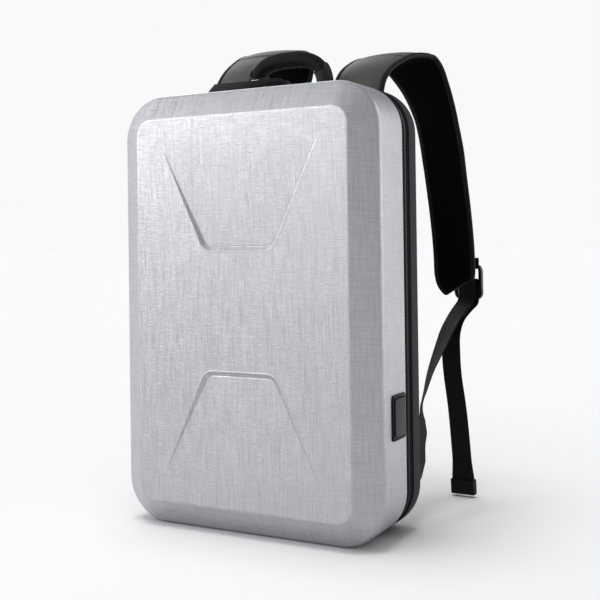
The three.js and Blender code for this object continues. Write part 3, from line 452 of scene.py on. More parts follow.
def skin(grid, around=False, along=False, caps=False, uv=None, faces_of=None):
    """A mesh over a grid of points, rows by columns by 3. around closes the columns and along the rows,
    caps fills the end rows, uv places points on the cloth, and faces_of(row, column) is the material."""
    grid = np.asarray(grid, float)
    rows, columns = grid.shape[:2]
    bm = bmesh.new()
    verts = [[bm.verts.new(p) for p in row] for row in grid]
    layer = bm.loops.layers.uv.new("Cloth")
    for i in range(rows if along else rows - 1):
        for j in range(columns if around else columns - 1):
            quad = [(i, j), (i, j + 1), (i + 1, j + 1), (i + 1, j)]
            face = bm.faces.new([verts[r % rows][c % columns] for r, c in quad])
            if uv is not None:
                for loop, (r, c) in zip(face.loops, quad):
                    loop[layer].uv = uv[r][c]
            if faces_of:
                face.material_index = faces_of(i, j)
    if caps:
        for row, turn in ((verts[0], 1), (verts[-1], -1)):
            bm.faces.new(row[::turn])
    bmesh.ops.remove_doubles(bm, verts=bm.verts, dist=1e-6)
    bmesh.ops.recalc_face_normals(bm, faces=bm.faces)
    return closed(bm, "skin")


def joined(*meshes):
    """One mesh of several."""
    bm = bmesh.new()
    for mesh in meshes:
        bm.from_mesh(mesh)
    return closed(bm, "joined")


def shaped(holder):
    """A new mesh of a helper object as its modifiers leave it. The helper is then removed."""
    bpy.context.view_layer.update()
    graph = bpy.context.evaluated_depsgraph_get()
    mesh = bpy.data.meshes.new_from_object(holder.evaluated_get(graph))
    bpy.data.objects.remove(holder)
    return mesh


def modified(mesh, *modifiers):
    """A mesh with modifiers applied: each is a kind and a table of its settings."""
    holder = placed("holder", mesh)
    for kind, settings in modifiers:
        modifier = holder.modifiers.new(kind.lower(), kind)
        for name, value in settings.items():
            setattr(modifier, name, value)
    return shaped(holder)


def merged_node(name):
    """A copy of a frame node with its loose triangles welded and its flat faces joined."""
    flat = 0.02
    bm = opened(NODES[name].data)
    bmesh.ops.dissolve_limit(bm, angle_limit=flat, verts=bm.verts, edges=bm.edges)
    mesh = closed(bm, name)
    mesh.materials.clear()
    return mesh


def softened(name, width, steps=3):
    """A frame node's copy with rounded edges."""
    return box_uv(modified(merged_node(name), ("BEVEL", {
        "width": width, "segments": steps, "limit_method": "ANGLE", "angle_limit": math.radians(30),
        "use_clamp_overlap": True, "harden_normals": False,
    })))


def fillet(points, radii, steps):
    """An open path with each inner corner rounded to its radius."""
    points = [np.asarray(p, float) for p in points]
    path = [points[0]]
    for before, corner, after, radius in zip(points, points[1:], points[2:], radii):
        into, out = before - corner, after - corner
        reach_in, reach_out = np.linalg.norm(into), np.linalg.norm(out)
        into, out = into / max(reach_in, 1e-9), out / max(reach_out, 1e-9)
        half = math.acos(np.clip(into @ out, -1, 1)) / 2
        back = min(radius / max(math.tan(half), 1e-6), 0.48 * reach_in, 0.48 * reach_out)
        start, end = corner + into * back, corner + out * back
        for k in range(steps + 1):
            t = k / steps
            path.append((1 - t) ** 2 * start + 2 * t * (1 - t) * corner + t ** 2 * end)
    path.append(points[-1])
    return np.array(path)


def outline(inset, corner, middle=4):
    """The case's outline seen from the front, once round from a lower corner: rows of x, z and the outward
    direction. middle is the number of parts of each long straight side."""
    steps, long_side = 12, 0.06
    half = HALF - inset
    low, high = inset, HEIGHT - inset
    rows = []
    corners = [
        (half - corner, low + corner, -90), (half - corner, high - corner, 0),
        (-half + corner, high - corner, 90), (-half + corner, low + corner, 180),
    ]
    for x, z, start in corners:
        for k in range(steps + 1):
            angle = math.radians(start + 90 * k / steps)
            nx, nz = math.cos(angle), math.sin(angle)
            rows.append((x + corner * nx, z + corner * nz, nx, nz))
    spread = []
    for before, after in zip(rows, rows[1:] + rows[:1]):
        spread.append(before)
        if math.dist(before[:2], after[:2]) > long_side:
            for k in range(1, middle):
                t = k / middle
                spread.append(tuple(a + (b - a) * t for a, b in zip(before, after)))
    return np.array(spread)


def around_case(profile, corner_of):
    """Loops of the case's outline through a profile of (inset, y)."""
    grid = []
    for inset, y in profile:
        loop = outline(inset, corner_of(inset))
        grid.append([(x, y, z) for x, z, _, _ in loop])
    return np.array(grid)


def flat_fill(loops):
    """Triangles that fill the first loop of points, with the other loops left open."""
    bm = bmesh.new()
    verts = [bm.verts.new(p) for loop in loops for p in loop]
    for a, b, c in tessellate_polygon([[Vector(p) for p in loop] for loop in loops]):
        if len({a, b, c}) == 3:
            bm.faces.new((verts[a], verts[b], verts[c]))
    return closed(bm, "fill")


def hollow(wall, *parts):
    """The parts welded into one skin that faces outwards, with a wall of that thickness behind it."""
    bm = opened(joined(*parts), 1e-5)
    bmesh.ops.dissolve_degenerate(bm, edges=bm.edges, dist=1e-6)
    bmesh.ops.recalc_face_normals(bm, faces=bm.faces)
    return modified(closed(bm, "shell"), ("SOLIDIFY", {"thickness": wall, "offset": -1.0, "use_rim": True}))


def facing(loop, y):
    """The places of a loop round the case at that depth, each with the way that it faces."""
    return [(Vector((x, y, z)), Vector((nx, 0, nz))) for x, z, nx, nz in loop]


def travel(points):
    """How far along a path each of its points is."""
    return np.concatenate([[0], np.cumsum(np.linalg.norm(np.diff(points, axis=0), axis=1))])


# Geometry Nodes: a small piece repeated along a path


def repeat_tree():
    """A node group that sets a piece along a path, turned to the path and to the face it lies on."""
    tree = bpy.data.node_groups.new("Pieces along a path", "GeometryNodeTree")
    face = tree.interface
    face.new_socket("Path", in_out="INPUT", socket_type="NodeSocketGeometry")
    face.new_socket("Piece", in_out="INPUT", socket_type="NodeSocketObject")
    face.new_socket("Spacing", in_out="INPUT", socket_type="NodeSocketFloat")
    face.new_socket("Finish", in_out="INPUT", socket_type="NodeSocketMaterial")
    face.new_socket("Pieces", in_out="OUTPUT", socket_type="NodeSocketGeometry")
    given = add(tree, "NodeGroupInput")
    curve = add(tree, "GeometryNodeMeshToCurve", {"Mesh": given.outputs["Path"]})
    even = add(tree, "GeometryNodeResampleCurve", {
        "Curve": curve.outputs["Curve"], "Length": given.outputs["Spacing"],
    }, mode="LENGTH")
    points = add(tree, "GeometryNodeCurveToPoints", {"Curve": even.outputs["Curve"]}, mode="EVALUATED")
    normal = add(tree, "GeometryNodeInputNamedAttribute", {"Name": "face"}, data_type="FLOAT_VECTOR")
    turned = add(tree, "FunctionNodeAlignRotationToVector", {"Vector": points.outputs["Tangent"]}, axis="X")
    faced = add(tree, "FunctionNodeAlignRotationToVector", {
        "Rotation": turned.outputs["Rotation"], "Vector": normal.outputs["Attribute"],
    }, axis="Z", pivot_axis="X")
    source = add(tree, "GeometryNodeObjectInfo", {"Object": given.outputs["Piece"]})
    set_out = add(tree, "GeometryNodeInstanceOnPoints", {
        "Points": points.outputs["Points"], "Instance": source.outputs["Geometry"],
        "Rotation": faced.outputs["Rotation"],
    })
    real = add(tree, "GeometryNodeRealizeInstances", {"Geometry": set_out.outputs["Instances"]})
    clad = add(tree, "GeometryNodeSetMaterial", {
        "Geometry": real.outputs["Geometry"], "Material": given.outputs["Finish"],
    })
    add(tree, "NodeGroupOutput", {"Pieces": clad.outputs["Geometry"]})
    return tree


def input_id(tree, name):
    """The identifier of a node group's input."""
    return next(s.identifier for s in tree.interface.items_tree if s.name == name and s.in_out == "INPUT")


def repeated(paths, small, spacing, material):
    """A mesh of small pieces set along paths. Each path is a list of (place, face direction)."""
    mesh = bpy.data.meshes.new("paths")
    places, edges, faces = [], [], []
    for path in paths:
        first = len(places)
        places += [tuple(p) for p, _ in path]
        faces += [tuple(n) for _, n in path]
        edges += [(first + k, first + k + 1) for k in range(len(path) - 1)]
    mesh.from_pydata(places, edges, [])
    attribute = mesh.attributes.new("face", "FLOAT_VECTOR", "POINT")
    attribute.data.foreach_set("vector", np.array(faces, np.float32).ravel())
    holder, pattern = placed("paths", mesh), placed("small piece", small)
    tree = bpy.data.node_groups.get("Pieces along a path") or repeat_tree()
    modifier = holder.modifiers.new("repeat", "NODES")
    modifier.node_group = tree
    for name, value in (("Piece", pattern), ("Spacing", spacing), ("Finish", finish(material))):
        modifier[input_id(tree, name)] = value
    result = shaped(holder)
    bpy.data.objects.remove(pattern)
    return result


def stitch_shape(long, thick):
    """One stitch lying along X: a six-sided rod with sunken ends."""
    rows = []
    for share, lift, size in ((-0.5, -0.6, 0.3), (-0.32, 0.15, 1), (0.32, 0.15, 1), (0.5, -0.6, 0.3)):
        rows.append([(share * long, math.cos(a) * thick / 2 * size, (math.sin(a) / 2 * size + lift) * thick)
                     for a in np.linspace(0, 2 * math.pi, 7)[:-1]])
    return skin(rows, around=True, caps=True)


def stitches(name, paths):
    """Rows of stitches as one piece."""
    sewing = sizes("zip")
    mesh = repeated(paths, stitch_shape(sewing.stitch_long, sewing.thread), sewing.stitch, "thread")
    keep(name, mesh, "case")


# Strips of the frame: straps and webbing, recovered as sections


class Strip:
    """Stations along a strap: each one's middle, the directions across it and out of its outer face, its half
    width and its half thickness."""

    def __init__(self, name, corners, start, outwards, finer):
        bm = opened(NODES[name].data)
        start = Vector(start)
        for face in sorted(bm.faces, key=lambda f: (f.calc_center_median() - start).length):
            rings = self.layers(self.flat_ring(face), corners, len(bm.verts))
            if rings:
                break
        else:
            raise RuntimeError("no end was found on " + name)
        rings = [np.array([v.co[:] for v in ring]) for ring in rings]
        bm.free()
        self.measure(rings, np.array(outwards, float), finer)

    @staticmethod
    def flat_ring(face):
        """The points of the flat part of the strip that a face belongs to."""
        flat, edge = {face}, [face]
        while edge:
            for line in edge.pop().edges:
                for near in line.link_faces:
                    if near not in flat and near.normal @ face.normal > 0.9999:
                        flat.add(near)
                        edge.append(near)
        return list({v for f in flat for v in f.verts})

    @staticmethod
    def layers(ring, corners, total):
        """The strip's sections one after another, if this ring is one of its two ends."""
        rings, seen = [ring], set(ring)
        while len(rings[-1]) == corners:
            fresh = {e.other_vert(v) for v in rings[-1] for e in v.link_edges} - seen
            if not fresh:
                return rings if len(seen) == total else None
            rings.append(list(fresh))
            seen |= fresh
        return None

    def measure(self, rings, outwards, finer):
        """Turns rings of points into smooth stations."""
        rows, last = [], None
        middles = [(r.max(0) + r.min(0)) / 2 for r in rings]
        for k, ring in enumerate(rings):
            spread = ring - ring.mean(0)
            across = np.linalg.svd(spread)[2][0]
            run = middles[min(k + 1, len(rings) - 1)] - middles[max(k - 1, 0)]
            run /= max(np.linalg.norm(run), 1e-9)
            run -= across * (run @ across)
            run /= np.linalg.norm(run)
            out = np.cross(run, across)
            if last is None:
                if out @ outwards < 0:
                    out, across = -out, -across
            elif across @ last[0] < 0:
                across, out = -across, -out
            last = (across, out)
            a, n = spread @ across, spread @ out
            middle = ring.mean(0) + across * (a.max() + a.min()) / 2 + out * (n.max() + n.min()) / 2
            halves = [(a.max() - a.min()) / 2, (n.max() - n.min()) / 2]
            rows.append(np.concatenate([middle, across, out, halves]))
        self.rows = smooth_rows(np.array(rows), finer)
        self.middle, self.across, self.out = self.rows[:, :3], self.rows[:, 3:6], self.rows[:, 6:9]
        for directions in (self.across, self.out):
            directions /= np.linalg.norm(directions, axis=1)[:, None]
        self.half_wide, self.half_thick = self.rows[:, 9], self.rows[:, 10]
        self.run = travel(self.middle)

    def point(self, k, a, n):
        """A place at station k: a across and n out, in metres."""
        return self.middle[k] + self.across[k] * a + self.out[k] * n


def smooth_rows(rows, finer):
    """Rows of numbers with more rows between them, on a smooth curve."""
    padded = np.vstack([2 * rows[0] - rows[1], rows, 2 * rows[-1] - rows[-2]])
    made = []
    for p0, p1, p2, p3 in zip(padded, padded[1:], padded[2:], padded[3:]):
        for k in range(finer):
            t = k / finer
            made.append(0.5 * (2 * p1 + (p2 - p0) * t + (2 * p0 - 5 * p1 + 4 * p2 - p3) * t ** 2
                               + (3 * p1 - p0 - 3 * p2 + p3) * t ** 3))
    made.append(rows[-1])
    return np.array(made)


# Pieces


def facet_fade(share):
    """Depth of a facet's floor as a share of its depth at the base: it runs out at share 1."""
    return max(1 - share, 0)


class BACKPACK_OT_front_shell(bpy.types.Operator):
    """Builds the silver front shell with its bevels and sunken facets"""

    bl_idname = "backpack.front_shell"
    bl_label = "Front shell"

    def execute(self, context):
        case = sizes("case")
        margin, least_corner = 0.003, 0.004
        slope = (case.panel_corner - case.corner) / case.bevel

        def corner_of(inset):
            """The outline's corner radius, which shrinks evenly up the bevel."""
            return max(case.corner + slope * inset, least_corner)

        profile = fillet(
            [(case.bevel + case.panel_round / 2 + margin, FRONT_Y), (case.bevel, FRONT_Y),
             (0, FRONT_Y + case.panel_depth), (0, RIM_Y)],
            [case.panel_round, case.ridge_round], 7,
        )
        walls = skin(around_case(profile, corner_of), around=True)
        edge = outline(profile[0][0], corner_of(profile[0][0]))
        panel = [(x, FRONT_Y, z) for x, z, _, _ in edge]
        parts, holes = [walls], []
        for side in (1, -1):
            ring, hole, floor = self.facet(case, side)
            parts += [ring, floor]
            holes.append(hole)
        parts.append(flat_fill([panel, *holes]))
        shell = self.port_hole(hollow(case.wall, *parts))
        keep("silver_front_shell", box_uv(shell), "case", ["front_shell"], ["silver"])
        return {"FINISHED"}

    @staticmethod
    def facet(case, side):
        """The rounded wall of one facet, the hole it needs in the panel, and its sloping floor. The wall has
        a small lip that stands proud of the panel, and a matching groove at its foot."""
        lean = (case.facet_end - case.facet_base) / case.facet_reach
        leg_angle = math.atan(lean)
        sweep = math.pi / 2 - leg_angle
        corner_x = case.facet_base - case.facet_corner * math.tan(sweep / 2)
        steps = 8
        right = []
        for k in range(steps + 1):
            angle = -math.pi / 2 + sweep * k / steps
            nu, nw = math.cos(angle), math.sin(angle)
            right.append((corner_x + case.facet_corner * nu, case.facet_corner * (1 + nw), nu, nw))
        nu, nw = math.cos(leg_angle), -math.sin(leg_angle)
        start = right[-1][1]
        for k in range(1, steps + 1):
            w = start + (case.facet_reach - start) * k / steps
            right.append((case.facet_base + lean * w, w, nu, nw))
        path = [(-u, w, -nu, nw) for u, w, nu, nw in right[::-1]] + right
        margin, lip_start, lip_top, foot_end = 0.003, 0.0018, 0.0007, 0.0011
        rows = []
        for u, w, nu, nw in path:
            depth = case.facet_depth * facet_fade(w / case.facet_reach)
            rounding = min(case.facet_round, depth)
            spread = case.facet_slope * depth / 2
            lip = case.facet_lip * depth
            wall = fillet([(spread + margin, 0), (spread + lip_start, 0), (spread + lip_top, -lip),
                           (-spread, depth + lip), (-spread - foot_end, depth), (-spread - margin, depth)],
                          [rounding] * 4, 4)
            row = []
            for shift, down in wall:
                here = w + nw * shift
                share = down / depth if depth > 1e-6 else 0
                real = share * case.facet_depth * facet_fade(here / case.facet_reach)
                row.append((u + nu * shift, FRONT_Y + real, HEIGHT / 2 + side * (case.facet_offset + here)))
            rows.append(row)
        rows = np.array(rows)
        hole = np.vstack([rows[:, 0], rows[-1, 1:], rows[0, :0:-1]])
        floor = rows[:, -1]
        return skin(rows), hole, flat_fill([floor])

    @staticmethod
    def port_hole(shell):
        """Opens the side wall where the port's body goes through."""
        low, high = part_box("port_frame")
        inset = 0.0028  # how far the frame's flange covers the shell round the opening
        bm = bmesh.new()
        bmesh.ops.create_cube(bm, size=1)
        reach = 0.04
        size = Vector((reach, high.y - low.y - 2 * inset, high.z - low.z - 2 * inset))
        middle = Vector((HALF, (low.y + high.y) / 2, (low.z + high.z) / 2))
        bm.transform(Matrix.Translation(middle) @ Matrix.Diagonal((*size, 1)))
        cutter = placed("port opening", closed(bm, "port opening"))
        cut = modified(shell, ("BOOLEAN", {"operation": "DIFFERENCE", "object": cutter, "solver": "EXACT"}))
        bpy.data.objects.remove(cutter)
        return cut


class BACKPACK_OT_back_shell(bpy.types.Operator):
    """Builds the cloth-covered rear half with its rounded edge"""

    bl_idname = "backpack.back_shell"
    bl_label = "Back shell"

    def execute(self, context):
        case = sizes("case")
        flat_from = 2.1 * case.rear_round + 0.004  # leaves the rounding its whole radius
        profile = fillet([(0, REAR_RIM_Y), (0, REAR_Y), (flat_from, REAR_Y)], [case.rear_round], 8)
        walls = skin(around_case(profile, lambda inset: case.corner - inset), around=True)
        edge = outline(flat_from, case.corner - flat_from)
        face = flat_fill([[(x, REAR_Y, z) for x, z, _, _ in edge]])
        shell = hollow(case.wall, walls, face)
        keep("cloth_back_shell", box_uv(shell), "case", ["back_shell"], ["rear"])
        seam_y = REAR_RIM_Y + 0.0035
        path = facing(outline(0, case.corner, 8), seam_y)
        stitches("back_shell_stitches", [path + path[:1]])
        return {"FINISHED"}


class BACKPACK_OT_zip_band(bpy.types.Operator):
    """Builds the two zip tapes, the chain of teeth, the cloth hinge, the sliders and their pulls"""

    bl_idname = "backpack.zip_band"
    bl_label = "Zip band"

    def execute(self, context):
        case, zipper = sizes("case"), sizes("zip")
        for name, side in (("zip_tape_front", 1), ("zip_tape_rear", -1)):
            self.tape(name, side, case, zipper)
        self.chain(case, zipper)
        self.hinge(case)
        for side in ("left", "right"):
            keep("slider_" + side, softened("zip_slider_" + side, 0.0006), "case",
                 ["zip_slider_" + side], ["metal"])
            keep("pull_" + side, softened("zip_pull_" + side, 0.0007), "case",
                 ["zip_pull_" + side], ["metal"])
        return {"FINISHED"}

    @staticmethod
    def tape(name, side, case, zipper):
        """One padded tape: a rounded bead beside the chain and a flange behind the shell's rim."""
        low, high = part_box(name)
        inner, outer = (low.y, high.y) if side == 1 else (high.y, low.y)
        start = outer - side * zipper.tape_width * (1 if side == 1 else zipper.rear_share)
        top, thick = zipper.tape_inset, zipper.tape_thick
        clear, drop, crown = 0.0003, 0.0004, 0.0006
        flange = case.wall + clear
        bead = [(start + (outer - start) * (1 - math.cos(a)) / 2, top + drop - math.sin(a) * crown)
                for a in np.linspace(0, math.pi, 9)]
        section = [(inner, flange), (start, flange), *bead, (outer, top + thick),
                   (start + side * thick, top + thick), (start + side * thick, flange + thick),
                   (inner, flange + thick)]
        grid = around_case([(inset, y) for y, inset in section], lambda inset: case.corner - inset)
        mesh = skin(grid, around=True, along=True)
        keep(name + "_cloth", box_uv(mesh), "case", [name], ["zip"])
        path = facing(outline(top - drop / 2, case.corner, 8), (start + outer) / 2)
        stitches(name + "_stitches", [path + path[:1]])

    @staticmethod
    def chain(case, zipper):
        """Two rows of interlocking coil teeth over a thin cord, up both sides and over the top."""
        low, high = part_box("zip_chain")
        inset = HALF - high.x
        tall, clear, side_x = 0.0012, 0.0002, 0.1
        loop = outline(inset + tall, case.corner - inset, 8)
        first = next(k for k, row in enumerate(loop) if row[0] > side_x and row[1] > low.z)
        last = max(k for k, row in enumerate(loop) if row[0] < -side_x and row[1] > low.z)
        run = loop[first:last + 1]
        near, far = low.y + clear, high.y - clear
        base = []
        for x, z, nx, nz in run:
            base.append([(x + nx * d, y, z + nz * d)
                         for y, d in ((near, -tall), (near, 0), (far, 0), (far, -tall))])
        keep("zip_chain_cord", box_uv(skin(base, around=True, caps=True)), "case",
             ["zip_chain"], ["teeth"])
        wide = high.y - low.y
        tooth_long, tooth_wide = zipper.pitch * 0.62, wide * 0.32
        section = ((-1, 0), (-1, 0.56), (0, 1), (1, 0.56), (1, 0))
        tooth = skin([[(share * tooth_long, y * tooth_wide, up * tall) for y, up in section]
                      for share in (-0.5, -0.2, 0.2, 0.5)], around=True, caps=True)
        meshes = []
        for shift, offset in ((-0.19, 0.0), (0.19, 0.5)):
            path = facing(run, (low.y + high.y) / 2 + shift * wide)
            step = (path[1][0] - path[0][0]).normalized() * zipper.pitch * offset
            path[0] = (path[0][0] + step, path[0][1])
            meshes.append(repeated([path], tooth, zipper.pitch, "teeth"))
        keep("zip_chain_teeth", joined(*meshes), "case", finishes=["teeth"])

    @staticmethod
    def hinge(case):
        """The cloth along the bottom, where the zip ends."""
        low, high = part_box("bottom_hinge")
        foot, drop, shoulder = -0.0022, -0.0004, 0.0008
        loop = outline(low.z, case.corner - low.z, 8)
        under = [row for row in loop if row[1] < high.z]
        under.sort(key=lambda row: row[0])
        rows = []
        for x, z, nx, nz in under:
            rows.append([(x + nx * d, y, z + nz * d) for y, d in (
                (low.y, foot), (low.y, drop), (low.y + shoulder, 0), (high.y - shoulder, 0),
                (high.y, drop), (high.y, foot))])
        keep("bottom_hinge_cloth", box_uv(skin(rows, around=True, caps=True)), "case",
             ["bottom_hinge"], ["zip"])


class BACKPACK_OT_port(bpy.types.Operator):
    """Builds the charging port's frame and its soft cover"""

    bl_idname = "backpack.port"
    bl_label = "Port"

    def execute(self, context):
        hardware = sizes("hardware")
        keep("port_bezel", softened("port_frame", hardware.port_round, 3), "case",
             ["port_frame"], ["gloss"])
        keep("port_flap", softened("port_cover", 0.0009, 4), "case",
             ["port_cover"], ["rubber"])
        return {"FINISHED"}


class BACKPACK_OT_lock(bpy.types.Operator):
    """Builds the combination lock with its dials and release"""

    bl_idname = "backpack.lock"
    bl_label = "Lock"

    def execute(self, context):
        hardware = sizes("hardware")
        keep("lock_housing", softened("lock_body", hardware.edge_round, 3), "case",
             ["lock_body"], ["gloss"])
        keep("lock_button", softened("lock_release", 0.0004, 2), "release",
             ["lock_release"], ["metal"])
        for number in (1, 2, 3):
            self.dial(number, hardware)
        return {"FINISHED"}

    @staticmethod
    def dial(number, hardware):
        """One knurled wheel with ten plain digits."""
        name = "lock_dial_%d" % number
        low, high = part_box(name)
        middle = (low + high) / 2
        radius = (high.z - low.z) / 2
        wide = high.x - low.x
        bore, ridge_deep = 0.0018, 0.03
        steps = hardware.knurls * 4
        rows = []
        for share, size in ((-0.5, bore / radius), (-0.5, 0.86), (-0.46, 0.94), (-0.36, 1), (-0.3, 0.965),
                            (0.3, 0.965), (0.36, 1), (0.46, 0.94), (0.5, 0.86), (0.5, bore / radius)):
            row = []
            for k in range(steps):
                angle = 2 * math.pi * k / steps
                ridge = ridge_deep * (0.5 - 0.5 * math.cos(hardware.knurls * angle)) if size == 1 else 0
                r = radius * (size - ridge)
                row.append(middle + Vector((share * wide, r * math.cos(angle), r * math.sin(angle))))
            rows.append(row)
        wheel = skin(rows, around=True, along=True)
        body = "dial_%d" % number
        keep("dial_wheel_%d" % number, box_uv(wheel), body, [name], ["metal"])
        digits = []
        for digit in range(10):
            words = bpy.data.curves.new("digit", "FONT")
            words.body = str(digit)
            words.size = hardware.digit
            words.align_x, words.align_y = "CENTER", "CENTER"
            words.extrude = 0.00005
            words.resolution_u = 2
            mesh = shaped(placed("digit", words))
            turn = Matrix.Rotation(math.radians(36 * digit), 4, "X")
            mesh.transform(Matrix.Translation(middle) @ turn @ Matrix.Translation((0, 0, radius * 0.97)))
            digits.append(mesh)
        keep("dial_digits_%d" % number, joined(*digits), body, finishes=["digit"])


class BACKPACK_OT_back_pad(bpy.types.Operator):
    """Builds the padded panel that lies against the wearer's back"""

    bl_idname = "backpack.back_pad"
    bl_label = "Back pad"

    def execute(self, context):
        low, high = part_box("back_pad")
        mesh = puffed(merged_node("back_pad"), sizes("cloth").pad_puff)
        pad = keep("back_pad_cloth", box_uv(mesh), "case", ["back_pad"], ["pad"])
        return {"FINISHED"}


def puffed(mesh, most, voxel=0.006, pressure=3.0, frames=16):
    """A stuffed piece: the mesh remeshed evenly, swelled by a cloth simulation to a limit, and smoothed."""
    start = modified(mesh, ("REMESH", {"mode": "VOXEL", "voxel_size": voxel}))
    scene = bpy.context.scene
    before = np.array([v.co[:] for v in start.vertices])
    holder = placed("stuffing", start)
    cloth = holder.modifiers.new("cloth", "CLOTH")
    settings = cloth.settings
    settings.quality = 4
    settings.use_pressure = True
    settings.uniform_pressure_force = pressure
    settings.effector_weights.gravity = 0
    settings.tension_stiffness = settings.compression_stiffness = 20
    cloth.point_cache.frame_start, cloth.point_cache.frame_end = 1, frames
    for number in range(1, frames + 1):
        scene.frame_set(number)
    start = shaped(holder)
    scene.frame_set(1)
    after = np.array([v.co[:] for v in start.vertices])
    move = after - before
    size = np.linalg.norm(move, axis=1)
    move *= (np.minimum(size, most) / np.maximum(size, 1e-9))[:, None]
    after = before + move
    start.vertices.foreach_set("co", after.ravel())
    start.update()
    return modified(start, ("SMOOTH", {"iterations": 4, "factor": 0.5}),
                    ("SUBSURF", {"levels": 1, "render_levels": 1}))


class BACKPACK_OT_handle(bpy.types.Operator):
    """Builds the padded carry handle and its two cloth feet"""

    bl_idname = "backpack.handle"
    bl_label = "Handle"

    def execute(self, context):
        low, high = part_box("handle_grip")
        cloth = sizes("cloth")
        points = 28
        mesh = self.tube(low, high, cloth, [np.linspace(0, 1, 61)] * points, 0.0, True)
        piece = keep("handle_grip_cloth", box_uv(mesh), "case", ["handle_grip"], ["grip"])
        tips = [abs(math.cos(2 * math.pi * k / points)) ** 3 for k in range(points)]
        ends = [cloth.sleeve_share * (1 + 0.55 * tip) for tip in tips]
        for side in ("left", "right"):
            runs = [np.linspace(0, end, 9) if side == "left" else np.linspace(1 - end, 1, 9) for end in ends]
            sleeve = self.tube(low, high, cloth, runs, cloth.sleeve_proud, False)
            sleeve = modified(sleeve, ("SOLIDIFY", {"thickness": 0.0011, "offset": 0.0}))
            foot = softened("handle_foot_" + side, 0.0008, 3)
            both = joined(foot, box_uv(sleeve))
            keep("handle_foot_%s_cloth" % side, both, "case", ["handle_foot_" + side], ["sleeve"])
        return {"FINISHED"}

    @staticmethod
    def tube(low, high, cloth, shares, grow, solid):
        """The grip's padded arch, or a sleeve round its end: shares gives each point round the section its
        own run of places along the arch."""
        reach = (high.x - low.x) / 2 - 0.0042
        top = high.z - cloth.grip_thick / 2
        foot = HEIGHT + 0.004
        bow, rise, squared = 0.72, 0.62, 0.8  # powers below 1 make the arch and its section squarer
        ripple, ripples = 0.0004, 140
        count = len(shares)
        rows = []
        for k in range(len(shares[0])):
            row = []
            for j in range(count):
                t = math.pi * shares[j][k]
                c, d = math.cos(t), math.sin(t)
                x = -math.copysign(abs(c) ** bow, c) * reach
                z = foot + (top - foot) * max(d, 0) ** rise
                out = Vector((-math.copysign(abs(c) ** (2 - bow), c), 0, max(d, 0.02) ** (2 - rise) * 1.1))
                out.normalize()
                fat = 0.5 * cloth.grip_thick * (0.72 + 0.28 * d ** 2) + grow
                wide = (high.y - low.y) / 2 * (0.8 + 0.2 * d ** 2) + grow
                angle = 2 * math.pi * j / count
                a, b = math.cos(angle), math.sin(angle)
                pucker = ripple * math.sin(shares[j][k] * ripples) * d ** 4 if solid and a < 0 else 0
                place = Vector((x, (low.y + high.y) / 2, z))
                place += out * math.copysign(abs(a) ** squared, a) * (fat + pucker)
                place.y += math.copysign(abs(b) ** squared, b) * wide
                row.append(place)
            rows.append(row)
        return skin(rows, around=True, caps=solid)


class BACKPACK_OT_shoulder_straps(bpy.types.Operator):
    """Builds the two padded shoulder straps with bound edges and stitching"""

    bl_idname = "backpack.shoulder_straps"
    bl_label = "Shoulder straps"

    def execute(self, context):
        cloth = sizes("cloth")
        for side in ("left", "right"):
            name = "shoulder_strap_" + side
            low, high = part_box(name)
            inner = min(low.x, high.x, key=abs)
            strap = Strip(name, 10, (inner, low.y, HEIGHT - 0.045), (0, -1, 0), 3)
            self.strap(name, strap, cloth)
        return {"FINISHED"}

    @staticmethod
    def strap(name, strap, cloth):
        """One strap: foam between cloth and mesh, with a bead of binding round each edge."""
        bind, bead = cloth.strap_bind, cloth.strap_bead
        dip, fade, seam_half = 0.82, 0.011, 0.006
        depths = [0, 0.0003, 0.0009, 0.0017, bead, bind - 0.001, bind, bind + 0.0006]
        rows, uvs = [], []
        for k in range(len(strap.run)):
            wide, thick = strap.half_wide[k], strap.half_thick[k]
            edge = min(bead, thick)
            reach = [min(d, wide * 0.6) for d in depths]
            reach += [reach[-1] * (1 - s) + wide * s for s in np.linspace(0, 1, 8)[1:]]
            half = []
            for depth in reach:
                if depth < bead:
                    lift = edge * math.sqrt(max(1 - (1 - depth / bead) ** 2, 0))
                elif depth < bind:
                    lift = edge
                else:
                    rise = 1 - math.exp(-(depth - bind) / fade)
                    lift = edge * dip + (thick - edge * dip) * rise
                half.append((wide - depth, lift))
            top = half[1:] + [(-a, n) for a, n in half[-2:0:-1]]
            ring = [(wide, 0)] + top + [(-wide, 0)] + [(a, -n) for a, n in top[::-1]]
            rows.append([strap.point(k, a, n) for a, n in ring])
            girth = travel(ring)
            uvs.append([(g, strap.run[k]) for g in girth] + [(girth[-1] + 0.001, strap.run[k])])
        count = len(rows[0])
        bound = len(depths) - 2
        last = len(rows) - 1

        def clad(i, j):
            """Binding along the edges, twill on the outer face, mesh on the inner one."""
            far = min(j, count - 1 - j, abs(j - (count // 2)), abs(j - (count // 2 - 1)))
            along = (strap.run[i] + strap.run[i + 1]) / 2 / strap.run[-1]
            seam = abs(along - cloth.strap_seam) < seam_half
            if far < bound or i in (0, last - 1) or seam:
                return 1
            return 0 if j < count // 2 else 2

        mesh = skin(rows, around=True, caps=True, uv=uvs, faces_of=clad)
        piece = keep(name + "_cloth", mesh, "case", [name], ["strap", "webbing", "mesh"])
        paths = []
        for face in (1, -1):
            for edge in (1, -1):
                path = []
                for k in range(2, last - 1):
                    wide = strap.half_wide[k]
                    lift = min(bead, strap.half_thick[k]) + 0.0001
                    a = edge * (wide - bind * 0.7)
                    path.append((strap.point(k, a, face * lift), strap.out[k] * face))
                paths.append(path)
        stitches(name + "_stitches", paths)


